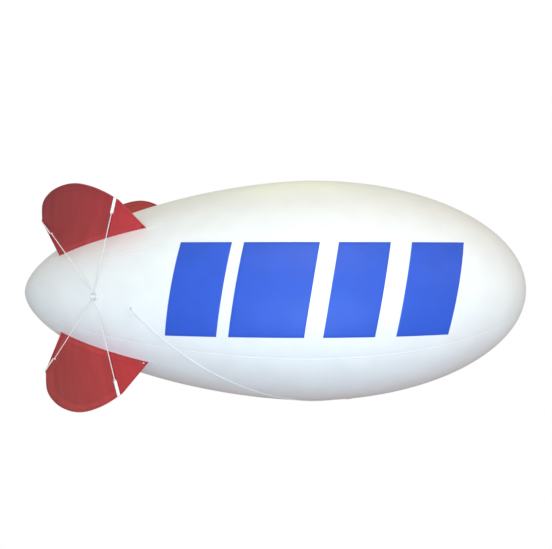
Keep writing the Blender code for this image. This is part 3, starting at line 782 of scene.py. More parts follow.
def film_disc(name, skin, x, turn, radius, lift, thickness, rings=7, sides=48):
    """Round film patch laid on the envelope."""
    lean = outward(x, turn).x
    run = math.sqrt(1 - lean * lean)
    places = [(x, turn)]
    for i in range(1, rings + 1):
        # The rings lie closer together towards the rim
        reach = radius * (i / rings) ** 0.8
        for angle in round_angles(sides):
            there = x + reach * math.cos(angle) * run
            places.append((there, turn + reach * math.sin(angle) / hull_radius(there)))
    points = [skin.at(there, bend, lift + thickness) for there, bend in places]
    faces = [(0, 1 + j, 1 + (j + 1) % sides) for j in range(sides)]
    for a in range(1, 1 + (rings - 1) * sides, sides):
        for j in range(sides):
            k = (j + 1) % sides
            faces.append((a + j, a + sides + j, a + sides + k, a + k))
    return face_out(new_piece(name, points, faces), thickness)


def double_patch(name, skin, x, turn, radius, thickness, share, rings=7, sides=48):
    """Round film patch with a thinner one over it, whose radius is a share of its own."""
    return join(name, [
        film_disc("patch", skin, x, turn, radius, PATCH_LIFT, thickness, rings, sides),
        film_disc("upper", skin, x, turn, radius * share, PATCH_LIFT + thickness,
                  thickness * UPPER_SHARE, sides=sides)])


def patch_top(thickness):
    """Height of a double patch's top over the film."""
    return PATCH_LIFT + thickness * (1 + UPPER_SHARE)


# Node groups

def new_tree(name, sockets):
    """Node group with named inputs, given as (name, kind, default), and its input and output nodes."""
    tree = bpy.data.node_groups.new(name, "GeometryNodeTree")
    tree.interface.new_socket("Geometry", in_out="OUTPUT", socket_type="NodeSocketGeometry")
    tree.interface.new_socket("Geometry", in_out="INPUT", socket_type="NodeSocketGeometry")
    for label, kind, default in (*sockets, ("Material", "Material", None)):
        socket = tree.interface.new_socket(label, in_out="INPUT", socket_type="NodeSocket" + kind)
        if default is not None:
            socket.default_value = default
    return tree, add(tree, "NodeGroupInput"), add(tree, "NodeGroupOutput")


def close_tree(tree, source, sink, geometry):
    """End a node group in real geometry with its material."""
    real = add(tree, "GeometryNodeRealizeInstances", {0: geometry})
    plug(tree, sink, {0: add(tree, "GeometryNodeSetMaterial", {0: real, 2: source.outputs["Material"]})})
    return tree


def grow(make_tree, name, values, base=None):
    """Run a node group, made on its first use, on a mesh, and return the result as a plain mesh object."""
    tree = bpy.data.node_groups.get(make_tree.__name__) or make_tree()
    holder = bpy.data.objects.new(name, base or bpy.data.meshes.new(name))
    bpy.context.scene.collection.objects.link(holder)
    modifier = holder.modifiers.new("shape", "NODES")
    modifier.node_group = tree
    for item in tree.interface.items_tree:
        if item.in_out == "INPUT" and item.name in values:
            modifier[item.identifier] = values[item.name]
    bpy.context.view_layer.update()
    mesh = bpy.data.meshes.new_from_object(
        holder.evaluated_get(bpy.context.evaluated_depsgraph_get()))
    bpy.data.objects.remove(holder)
    if not mesh.polygons:
        raise RuntimeError(name + ": the node group made no faces")
    piece = bpy.data.objects.new(name, mesh)
    bpy.context.scene.collection.objects.link(piece)
    return piece


def film_gore():
    """One gore of the envelope from its rule: profile, seam valley and the wrinkles beside the seams."""
    tree, source, sink = new_tree("film_gore", (
        ("Stations", "Int", 240), ("Columns", "Int", 48),
        ("Nose", "Float", NOSE_X), ("Tail", "Float", TAIL_X), ("Widest", "Float", WIDEST_X),
        ("Radius", "Float", HULL_RADIUS), ("Tail Power", "Float", TAIL_POWER),
        ("Tail Fullness", "Float", TAIL_FULLNESS), ("Pole Radius", "Float", POLE_RADIUS),
        ("Turn", "Float", 0.0), ("Half Angle", "Float", math.pi / GORES), ("Seam Gap", "Float", 0.0001),
        ("Valley", "Float", 0.001), ("Valley Width", "Float", 0.012), ("Pucker", "Float", 0.0006),
        ("Pucker Pitch", "Float", 0.034), ("Pucker Reach", "Float", 0.030), ("Seed", "Float", 0.0)))
    given = source.outputs
    grid = add(tree, "GeometryNodeMeshGrid", {
        "Size X": 2.0, "Size Y": 2.0, "Vertices X": given["Stations"], "Vertices Y": given["Columns"]})
    place = add(tree, "ShaderNodeSeparateXYZ", {0: add(tree, "GeometryNodeInputPosition")})
    along, across = place.outputs["X"], place.outputs["Y"]
    ahead = add(tree, MATH, {0: along, 1: 0.0}, operation="GREATER_THAN")

    # Each half runs on the sine of an angle, which ends where the profile meets the pole opening
    pole = add(tree, MATH, {0: given["Pole Radius"], 1: given["Radius"]}, operation="DIVIDE")
    nose_square = add(tree, MATH, {0: pole, 1: pole}, operation="MULTIPLY")
    nose_rest = add(tree, MATH, {0: 1.0, 1: nose_square}, operation="SUBTRACT")
    nose_share = add(tree, MATH, {0: nose_rest}, operation="SQRT")
    nose_angle = add(tree, MATH, {0: nose_share}, operation="ARCSINE")
    root = add(tree, MATH, {0: 1.0, 1: given["Tail Fullness"]}, operation="DIVIDE")
    tail_lift = add(tree, MATH, {0: pole, 1: root}, operation="POWER")
    tail_rest = add(tree, MATH, {0: 1.0, 1: tail_lift}, operation="SUBTRACT")
    tail_root = add(tree, MATH, {0: 1.0, 1: given["Tail Power"]}, operation="DIVIDE")
    tail_share = add(tree, MATH, {0: tail_rest, 1: tail_root}, operation="POWER")
    tail_angle = add(tree, MATH, {0: tail_share}, operation="ARCSINE")
    end_angle = add(tree, "ShaderNodeMix", {0: ahead, 2: tail_angle, 3: nose_angle})
    walk = add(tree, MATH, {0: add(tree, MATH, {0: along}, operation="ABSOLUTE"), 1: end_angle},
               operation="MULTIPLY")
    share = add(tree, MATH, {0: walk}, operation="SINE")
    nose_reach = add(tree, MATH, {0: given["Nose"], 1: given["Widest"]}, operation="SUBTRACT")
    tail_reach = add(tree, MATH, {0: given["Tail"], 1: given["Widest"]}, operation="SUBTRACT")
    reach = add(tree, "ShaderNodeMix", {0: ahead, 2: tail_reach, 3: nose_reach})
    station = add(tree, MATH, {0: share, 1: reach, 2: given["Widest"]}, operation="MULTIPLY_ADD")

    # Profile: sqrt(1 - t^2) ahead, (1 - t^power)^fullness behind
    square = add(tree, MATH, {0: share, 1: share}, operation="MULTIPLY")
    nose_profile = add(tree, MATH, {0: add(tree, MATH, {0: 1.0, 1: square}, operation="SUBTRACT")},
                       operation="SQRT")
    power = add(tree, MATH, {0: share, 1: given["Tail Power"]}, operation="POWER")
    tail_base = add(tree, MATH, {0: 1.0, 1: power}, operation="SUBTRACT")
    tail_profile = add(tree, MATH, {0: tail_base, 1: given["Tail Fullness"]}, operation="POWER")
    profile = add(tree, "ShaderNodeMix", {0: ahead, 2: tail_profile, 3: nose_profile})
    radius = add(tree, MATH, {0: profile, 1: given["Radius"]}, operation="MULTIPLY")

    # Across the gore: half its angle less the gap at the seam
    gap = add(tree, MATH, {0: given["Seam Gap"], 1: radius}, operation="DIVIDE")
    half = add(tree, MATH, {0: given["Half Angle"], 1: gap}, operation="SUBTRACT")
    turn = add(tree, MATH, {0: across, 1: half, 2: given["Turn"]}, operation="MULTIPLY_ADD")
    off_middle = add(tree, MATH, {0: across}, operation="ABSOLUTE")
    to_seam = add(tree, MATH, {0: 1.0, 1: off_middle}, operation="SUBTRACT")
    seam_angle = add(tree, MATH, {0: to_seam, 1: half}, operation="MULTIPLY")
    seam = add(tree, MATH, {0: seam_angle, 1: radius}, operation="MULTIPLY")

    # Valley: a bell shape across the seam
    spread = add(tree, MATH, {0: seam, 1: given["Valley Width"]}, operation="DIVIDE")
    bell = add(tree, MATH, {0: spread, 1: spread}, operation="MULTIPLY")
    fall = add(tree, MATH, {0: math.e, 1: add(tree, MATH, {0: bell, 1: -1.0}, operation="MULTIPLY")},
               operation="POWER")
    valley = add(tree, MATH, {0: fall, 1: given["Valley"]}, operation="MULTIPLY")

    # Wrinkles: a wave along the seam with a wandering phase, fading out across the gore and at the poles
    spot = add(tree, "ShaderNodeCombineXYZ", {0: station, 1: across})
    wander = add(tree, "ShaderNodeTexNoise", {
        "Vector": spot, "W": given["Seed"], "Scale": 6.0, "Detail": 1.0}, noise_dimensions="4D")
    waves = add(tree, MATH, {0: station, 1: given["Pucker Pitch"]}, operation="DIVIDE")
    phase = add(tree, MATH, {0: wander, 1: 3.0, 2: waves}, operation="MULTIPLY_ADD")
    wave = add(tree, MATH, {0: add(tree, MATH, {0: phase, 1: 2 * math.pi}, operation="MULTIPLY")},
               operation="SINE")
    fade_share = add(tree, MATH, {0: seam, 1: given["Pucker Reach"]}, operation="DIVIDE")
    fade = add(tree, MATH, {0: math.e, 1: add(tree, MATH, {0: fade_share, 1: -1.0}, operation="MULTIPLY")},
               operation="POWER")
    near_pole = add(tree, MATH, {0: profile, 1: profile}, operation="MULTIPLY")
    strength = add(tree, MATH, {0: fade, 1: near_pole}, operation="MULTIPLY")
    depth = add(tree, MATH, {0: strength, 1: given["Pucker"]}, operation="MULTIPLY")
    pucker = add(tree, MATH, {0: wave, 1: depth, 2: depth}, operation="MULTIPLY_ADD")
    drawn_in = add(tree, MATH, {0: valley, 1: pucker}, operation="ADD")
    final = add(tree, MATH, {0: radius, 1: drawn_in}, operation="SUBTRACT")

    sine = add(tree, MATH, {0: turn}, operation="SINE")
    cosine = add(tree, MATH, {0: turn}, operation="COSINE")
    out = add(tree, MATH, {0: final, 1: -1.0}, operation="MULTIPLY")
    point = add(tree, "ShaderNodeCombineXYZ", {
        0: station,
        1: add(tree, MATH, {0: out, 1: sine}, operation="MULTIPLY"),
        2: add(tree, MATH, {0: final, 1: cosine}, operation="MULTIPLY")})
    shaped = add(tree, "GeometryNodeSetPosition", {"Geometry": grid, "Position": point})
    return close_tree(tree, source, sink, shaped)


def stitch_row():
    """Stitches set along lines of edges; the attribute "up" says which way the cloth faces."""
    tree, source, sink = new_tree("stitch_row", (
        ("Pitch", "Float", 0.009), ("Length", "Float", 0.0065), ("Thickness", "Float", 0.0012)))
    given = source.outputs
    line = add(tree, "GeometryNodeMeshToCurve", {0: given["Geometry"]})
    places = add(tree, "GeometryNodeResampleCurve", {"Curve": line, "Length": given["Pitch"]}, mode="LENGTH")
    up = add(tree, "GeometryNodeInputNamedAttribute", {"Name": "up"}, data_type="FLOAT_VECTOR")
    tangent = add(tree, "GeometryNodeInputTangent")
    lengthwise = add(tree, "FunctionNodeAlignRotationToVector", {"Vector": tangent}, axis="X")
    upright = add(tree, "FunctionNodeAlignRotationToVector", {"Rotation": lengthwise, "Vector": up},
                  axis="Z", pivot_axis="X")
    thread = add(tree, "GeometryNodeMeshIcoSphere", {"Radius": 0.5, "Subdivisions": 1})
    size = add(tree, "ShaderNodeCombineXYZ",
               {0: given["Length"], 1: given["Thickness"], 2: given["Thickness"]})
    row = add(tree, "GeometryNodeInstanceOnPoints", {
        "Points": places, "Instance": thread, "Rotation": upright, "Scale": size})
    return close_tree(tree, source, sink, row)


def grip_ribs():
    """Ribs that stand round a circle about Z, such as the grip of a lid."""
    tree, source, sink = new_tree("grip_ribs", (
        ("Count", "Int", 36), ("Radius", "Float", 0.017), ("Rib Width", "Float", 0.0012),
        ("Rib Height", "Float", 0.003)))
    given = source.outputs
    circle = add(tree, "GeometryNodeMeshCircle", {"Vertices": given["Count"], "Radius": given["Radius"]})
    facing = add(tree, "FunctionNodeAlignRotationToVector",
                 {"Vector": add(tree, "GeometryNodeInputPosition")}, axis="X")
    rib = add(tree, "GeometryNodeMeshIcoSphere", {"Radius": 0.5, "Subdivisions": 2})
    size = add(tree, "ShaderNodeCombineXYZ",
               {0: given["Rib Width"], 1: given["Rib Width"], 2: given["Rib Height"]})
    ribs = add(tree, "GeometryNodeInstanceOnPoints", {
        "Points": circle, "Instance": rib, "Rotation": facing, "Scale": size})
    return close_tree(tree, source, sink, ribs)


def stitches(name, lines, material, pitch, length, thickness=0.0012):
    """Rows of stitches along lines of (point, direction that the cloth faces)."""
    mesh = bpy.data.meshes.new(name + "_lines")
    points, edges, ups = [], [], []
    for line in lines:
        edges += [(len(points) + i, len(points) + i + 1) for i in range(len(line) - 1)]
        points += [tuple(p) for p, _ in line]
        ups += [c for _, up in line for c in up]
    mesh.from_pydata(points, edges, [])
    mesh.attributes.new("up", "FLOAT_VECTOR", "POINT").data.foreach_set("vector", ups)
    return grow(stitch_row, name, {
        "Pitch": pitch, "Length": length, "Thickness": thickness, "Material": finish(material)}, mesh)


# Envelope

class BLIMP_OT_envelope(bpy.types.Operator):
    """Make the six film gores, the weld over each seam and the cap at each pole"""
    bl_idname = "blimp.envelope"
    bl_label = "Film envelope"
    bl_options = {"REGISTER", "UNDO"}

    def execute(self, context):
        film = context.scene.blimp_film
        step = 2 * math.pi / GORES
        for i, name in enumerate(GORE_NAMES):
            middle = step * (i + 0.5)
            gore = grow(film_gore, "film_gore_" + name, {
                "Turn": middle, "Valley": film.valley, "Pucker": film.pucker,
                "Pucker Pitch": film.pucker_pitch, "Seed": float(film.seed + i),
                "Material": finish("calendered_pvc_film")})
            if gore.data.polygons[0].normal.dot(around(0.0, 1.0, middle)) < 0:
                gore.data.flip_normals()
            thicken(gore, film.wall, offset=-1.0)
            hand_over(gore, "calendered_pvc_film", ("gore_" + name,), sharp=60)
        self.make_welds(Skin(), film.weld_width)
        self.make_caps(film.patch)
        return {"FINISHED"}

    def make_welds(self, skin, width):
        """Thin sealed lap over each seam, from cap to cap."""
        low, high, rows = TAIL_X + 0.004, NOSE_X - 0.004, 640
        # The rows lie closer together towards the poles
        stations = [(low + high) / 2 - (high - low) / 2 * math.cos(math.pi * k / rows)
                    for k in range(rows + 1)]
        for i in range(GORES):
            turn = 2 * math.pi * i / GORES
            grid = [[(x, turn + width / 2 / hull_radius(x) * share) for share in (-1, -0.5, 0, 0.5, 1)]
                    for x in stations if hull_radius(x) >= POLE_RADIUS]
            weld = film_strip("seam_weld_%d" % (i + 1), skin, grid, lift=0.0001, thickness=0.0004)
            hand_over(weld, "heat_sealed_film")

    def make_caps(self, thickness):
        """Round film cap that closes the tips of the gores at each pole."""
        reach, rings, depth = 0.066, 10, 0.0045
        lying = axes(Vector(), Vector((0, 0, -1)), Vector((0, 1, 0)))
        for name, sign, pole in (("nose_cap", 1, NOSE_X), ("tail_cap", -1, TAIL_X)):
            dome = []
            for i in range(rings + 1):
                radius = max(reach * i / rings, 0.0005)
                ratio = radius / HULL_RADIUS
                if sign > 0:
                    share = math.sqrt(1 - ratio ** 2)
                else:
                    share = (1 - ratio ** (1 / TAIL_FULLNESS)) ** (1 / TAIL_POWER)
                dome.append((radius, WIDEST_X + (pole - WIDEST_X) * share))
            rim_x = dome[-1][1]
            outer = [(r, x + sign * (thickness + CLEAR)) for r, x in dome[:-1]]
            rim = [(reach - 0.0006, rim_x + sign * 0.0001), (reach + 0.0002, rim_x - sign * 0.0009),
                   (reach - 0.004, rim_x - sign * 0.002)]
            under = [(r, x - sign * depth) for r, x in dome if r < POLE_RADIUS - 0.001]
            cap = lathe("film_" + name, outer + rim + under[::-1], lying)
            solid = bmesh.new()
            solid.from_mesh(cap.data)
            bmesh.ops.recalc_face_normals(solid, faces=solid.faces)
            solid.to_mesh(cap.data)
            solid.free()
            hand_over(cap, "calendered_pvc_film", (name,))


class BLIMP_OT_blocks(bpy.types.Operator):
    """Lay the plain slanted blocks of cut vinyl on both flanks"""
    bl_idname = "blimp.blocks"
    bl_label = "Flank blocks"
    bl_options = {"REGISTER", "UNDO"}

    def execute(self, context):
        film = context.scene.blimp_film
        # Cuts of each block, and how steeply the blocks' upper edge falls towards the nose
        columns, rows, fall = 22, 26, 0.012
        for side_name, side in (("starboard", 1), ("port", -1)):
            for number, (foot_aft, foot_fore, top_aft, top_fore) in enumerate(BLOCKS, 1):
                if side < 0:
                    foot_aft, foot_fore, top_aft, top_fore = top_aft, top_fore, foot_aft, foot_fore
                grid = []
                for i in range(rows + 1):
                    rise = i / rows
                    aft = foot_aft + (top_aft - foot_aft) * rise
                    fore = foot_fore + (top_fore - foot_fore) * rise
                    row = []
                    for j in range(columns + 1):
                        x = aft + (fore - aft) * j / columns
                        height = film.block_foot + (film.block_top - fall * x - film.block_foot) * rise
                        row.append((x, side * math.acos(height / hull_radius(x))))
                    grid.append(row)
                block = film_strip("flank_block_%s_%d" % (side_name, number), None, grid,
                                   lift=CLEAR, thickness=0.0004)
                hand_over(block, "cut_vinyl")
        return {"FINISHED"}


# Fins

def catmull(points, steps):
    """Smooth run through points; each stretch is cut into equal steps."""
    ends = [2 * points[0] - points[1]] + points + [2 * points[-1] - points[-2]]
    run = []
    for a, b, c, d in zip(ends, ends[1:], ends[2:], ends[3:]):
        for i in range(steps):
            t = i / steps
            run.append(0.5 * (2 * b + (c - a) * t + (2 * a - 5 * b + 4 * c - d) * t ** 2
                              + (3 * b - a - 3 * c + d) * t ** 3))
    run.append(points[-1])
    return run


def spaced(points, step):
    """Points at even distances along a polyline, ends included."""
    points = np.array(points)
    lengths = np.concatenate([[0], np.cumsum(np.linalg.norm(np.diff(points, axis=0), axis=1))])
    wanted = np.linspace(0, lengths[-1], max(2, int(round(lengths[-1] / step)) + 1))
    return np.stack([np.interp(wanted, lengths, column) for column in points.T], axis=1)


def distance_to(points, outline):
    """Distance from each point to a closed outline."""
    start = outline[None, :, :]
    run = np.roll(outline, -1, axis=0)[None] - start
    rel = points[:, None, :] - start
    share = np.clip((rel * run).sum(2) / np.maximum((run * run).sum(2), 1e-12), 0, 1)
    return np.linalg.norm(rel - share[..., None] * run, axis=2).min(axis=1)


def inside(points, outline):
    """Whether each point lies within a closed outline."""
    x, y = points[:, 0][:, None], points[:, 1][:, None]
    x0, y0 = outline.T
    x1, y1 = np.roll(outline, -1, axis=0).T
    crosses = (y0 > y) != (y1 > y)
    at = x0 + (y - y0) * (x1 - x0) / np.where(y1 == y0, 1e-12, y1 - y0)
    return (crosses & (x < at)).sum(axis=1) % 2 == 1


class FinPlan:
    """Plan of a fin in its own plane: edge, outline, hem line, area, and how far the cloth stands out."""

    def __init__(self, fin):
        self.fin = fin
        edge, step = [np.array(p) for p in FIN_EDGE], 0.008
        self.front, self.rear = edge[1], edge[-2]
        front_foot, rear_foot = self.foot(edge[0], edge[1]), self.foot(edge[-1], edge[-2])
        self.edge = np.concatenate([
            spaced([front_foot, edge[1]], step)[:-1], spaced(catmull(edge[1:-1], 8), step),
            spaced([edge[-2], rear_foot], step)[1:]])
        root = [(x, hull_radius(x) + ROOT_LIFT) for x in np.linspace(rear_foot[0], front_foot[0], 84)[1:-1]]
        self.outline = np.concatenate([self.edge, root])
        self.low, self.high = self.outline.min(axis=0), self.outline.max(axis=0)
        x, r = self.outline.T
        self.area = abs(float(x @ np.roll(r, 1) - r @ np.roll(x, 1))) / 2
        self.hem_line = self.inset(fin.hem_width)

    def foot(self, low, high):
        """Where a straight edge meets the envelope."""
        for _ in range(40):
            middle = (low + high) / 2
            if middle[1] > hull_radius(middle[0]) + ROOT_LIFT:
                high = middle
            else:
                low = middle
        return high

    def inset(self, reach):
        """Line that runs at a distance inside the outline."""
        run = np.roll(self.outline, -1, axis=0) - np.roll(self.outline, 1, axis=0)
        run /= np.linalg.norm(run, axis=1)[:, None]
        moved = self.outline + np.stack([-run[:, 1], run[:, 0]], axis=1) * reach
        keep = (distance_to(moved, self.outline) > reach - 0.0004) & inside(moved, self.outline)
        return moved[keep]

    def out(self, points):
        """How far the cloth stands out of its plane: a shallow bulge and pulls from the strap corners."""
        away = distance_to(points, self.outline)

        def fades_in(distance, reach):
            return 1 - np.exp(-(distance / reach) ** 2)

        rise = self.fin.bulge * fades_in(away, 0.11)
        # Pulls: 2.2 mm high, spread as a fan about the way in from each corner, 100 mm long
        for corner, toward in ((self.front, (-0.35, -1.0)), (self.rear, (0.8, -0.6))):
            rel = points - corner
            reach = np.linalg.norm(rel, axis=1)
            heading = np.arctan2(rel[:, 1], rel[:, 0]) - math.atan2(toward[1], toward[0])
            pull = np.exp(-reach / 0.10) * np.cos(heading * 7) * (1 - np.exp(-reach / 0.03))
            rise = rise + 0.0022 * pull * fades_in(away, 0.03)
        return rise


def fin_sheets(plan, name, side):
    """Full cloth and the doubled band round it, as sheets in the fin's own plane."""
    outline, hem_line = plan.outline, plan.hem_line
    # Field of points in a triangle pattern, 12 mm apart
    step = 0.012
    xs, ys = np.meshgrid(np.arange(plan.low[0], plan.high[0], step),
                         np.arange(plan.low[1], plan.high[1], step * 0.87))
    xs = xs + (np.arange(xs.shape[0])[:, None] % 2) * step / 2
    field = np.stack([xs.ravel(), ys.ravel()], axis=1)
    field = field[inside(field, outline)]
    field = field[(distance_to(field, outline) > 0.006) & (distance_to(field, hem_line) > 0.005)]
    points = np.concatenate([outline, hem_line, field])
    edges = []
    for first, count in ((0, len(outline)), (len(outline), len(hem_line))):
        edges += [(first + i, first + (i + 1) % count) for i in range(count)]
    made = delaunay_2d_cdt([Vector(p) for p in points], edges, [], 1, 1e-7)
    flat = np.array([tuple(p) for p in made[0]])
    faces = [tuple(f) for f in made[2]]
    lateral = plan.out(flat) * side
    banded = ~inside(np.array([flat[list(f)].mean(axis=0) for f in faces]), hem_line)
    sheets = []
    for label, chosen in (("cloth", faces), ("hem", [f for f, b in zip(faces, banded) if b])):
        used = sorted({v for f in chosen for v in f})
        index = {v: i for i, v in enumerate(used)}
        sheets.append(new_piece(
            "fin_%s_%s" % (label, name), [(flat[v][0], lateral[v], flat[v][1]) for v in used],
            [tuple(index[v] for v in f) for f in chosen], [tuple(flat[v]) for f in chosen for v in f]))
    return sheets


def stay_ring_frame(turn):
    """Frame of a stay ring: it lies on its patch, at a turn in degrees."""
    return seat(STAY_X, math.radians(turn), RING_LIFT)


def knot(name, middle, pull, size, cord):
    """Small three-lobed knot, its flat side square to the pull."""
    side = pull.orthogonal().normalized()
    up = pull.cross(side)
    path = []
    for t in round_angles(40):
        a = math.sin(t) + 2 * math.sin(2 * t)
        b = math.cos(t) - 2 * math.cos(2 * t)
        path.append(middle + (side * a + up * b) * size / 3 - pull * math.sin(3 * t) * size * 0.45)
    return tube(name, path, cord, sides=8, loop=True)


class BLIMP_OT_fins(bpy.types.Operator):
    """Make the four fins: taffeta, doubled hem with its rod sleeve, sewing, welt and corner eyelet"""
    bl_idname = "blimp.fins"
    bl_label = "Cloth fins"
    bl_options = {"REGISTER", "UNDO"}

    def execute(self, context):
        fin, rig = context.scene.blimp_fin, context.scene.blimp_rigging
        skin = Skin()
        plan = FinPlan(fin)
        for name, (turn, side) in FINS.items():
            welt = self.make_welt(skin, name, math.radians(turn))
            cloth, hem = fin_sheets(plan, name, side)
            thicken(cloth, fin.cloth, offset=0.0)
            thicken(hem, fin.hem, offset=0.0)
            hem = join("fin_hem_" + name, [hem, self.make_sleeve(plan, fin)])
            sewing = self.make_sewing(plan, fin, name, side)
            corner = self.make_corner(plan, fin, rig, name)
            for piece in (cloth, hem, sewing, *corner):
                turned(piece, turn)
            hand_over(welt, "calendered_pvc_film", ("fin_welt_" + name,))
            hand_over(hem, "doubled_taffeta", ("fin_rim_" + name,), sharp=50)
            hand_over(sewing, None)
            hand_over(cloth, "nylon_taffeta", ("fin_panel_" + name,), sharp=50)
        return {"FINISHED"}

    def make_welt(self, skin, name, turn):
        """Film strip welded on the envelope under a fin, 36 mm wide and narrower at its ends."""
        rows, cuts = [], 60
        for i in range(cuts + 1):
            x = WELT_ENDS[0] + (WELT_ENDS[1] - WELT_ENDS[0]) * i / cuts
            from_end = min(i, cuts - i)
            half = 0.018 * math.sqrt(min(1.0, from_end / 4 + 0.35)) / hull_radius(x)
            rows.append([(x, turn + half * share / 4) for share in range(-4, 5)])
        return film_strip("fin_welt_film_" + name, skin, rows, lift=0.00005, thickness=0.0008)

    def make_sleeve(self, plan, fin):
        """Sleeve round the edge rod, from foot to foot, with its UVs in the fin's plan as the cloth's are."""
        run = np.gradient(plan.edge, axis=0)
        run /= np.linalg.norm(run, axis=1)[:, None]
        outer = plan.edge + np.stack([run[:, 1], -run[:, 0]], axis=1) * ROD_OUT
        path = [Vector((x, 0.0, r)) for x, r in outer]
        path.insert(0, path[0] + (path[0] - path[1]).normalized() * 0.004)
        path.append(path[-1] + (path[-1] - path[-2]).normalized() * 0.004)
        sleeve = tube("sleeve", path, fin.bead, sides=12)
        places = [(v.co.x, v.co.z) for v in sleeve.data.vertices]
        for loop, corner in zip(sleeve.data.loops, sleeve.data.uv_layers[0].data):
            corner.uv = places[loop.vertex_index]
        return sleeve

    def make_sewing(self, plan, fin, name, side):
        """A row of stitches beside the rod sleeve and one along the hem's inner edge, on both faces."""
        lines = []
        height = fin.hem / 2 + CLEAR
        for reach in (0.009, fin.hem_width - 0.003):
            row = plan.inset(reach)
            row = np.concatenate([row, row[:1]])
            lateral = plan.out(row) * side
            for face in (1, -1):
                lines.append([((x, y + face * height, r), (0.0, face, 0.0))
                              for (x, r), y in zip(row, lateral)])
        # 3 mm stitches, drawn longer to show
        return stitches("fin_sewing_" + name, lines, "polyester_thread", fin.stitch_pitch, fin.stitch_length)

    def make_corner(self, plan, fin, rig, name):
        """Eyelet at the front corner of the root, and on the lower fins the cord that ties it down."""
        ring = plan.inset(0.0070)
        corner_x, corner_r = ring[ring[:, 0].argmax()]
        # Painted shade: the eyelet's middle, where its hole would be, is closed by a flat disc of its dark
        # metal
        profile = [(0.0006, -0.0003), (0.0058, -0.0003), (0.0062, 0.0001), (0.0058, 0.0011), (0.0046, 0.0015),
                   (0.0034, 0.0010), (0.0031, 0.0002), (0.0006, 0.0001)]
        eyelets, ties = [], []
        for face in (1, -1):
            middle = Vector((corner_x, face * fin.hem / 2, corner_r))
            matrix = axes(middle, Vector((1, 0, 0)), Vector((0, 0, -face)))
            eyelets.append(lathe("eyelet", profile, matrix, sides=24))
            if "belly" in name:
                run = [middle + Vector((x, face * y, z)) for x, y, z in
                       ((-0.010, 0.003, 0.001), (-0.006, 0.0036, 0.001), (-0.001, 0.0012, 0.0))]
                ties.append(knot("tie", run[0], Vector((0.0, face, 0.0)), 0.0036, rig.cord * 0.75))
                ties.append(tube("loop", run, rig.cord * 0.8, sides=8))
        corner = [hand_over(join("fin_eyelet_" + name, eyelets), "blackened_brass")]
        if ties:
            corner.append(hand_over(join("fin_tie_" + name, ties), "braided_polyester"))
        return corner


# Stays

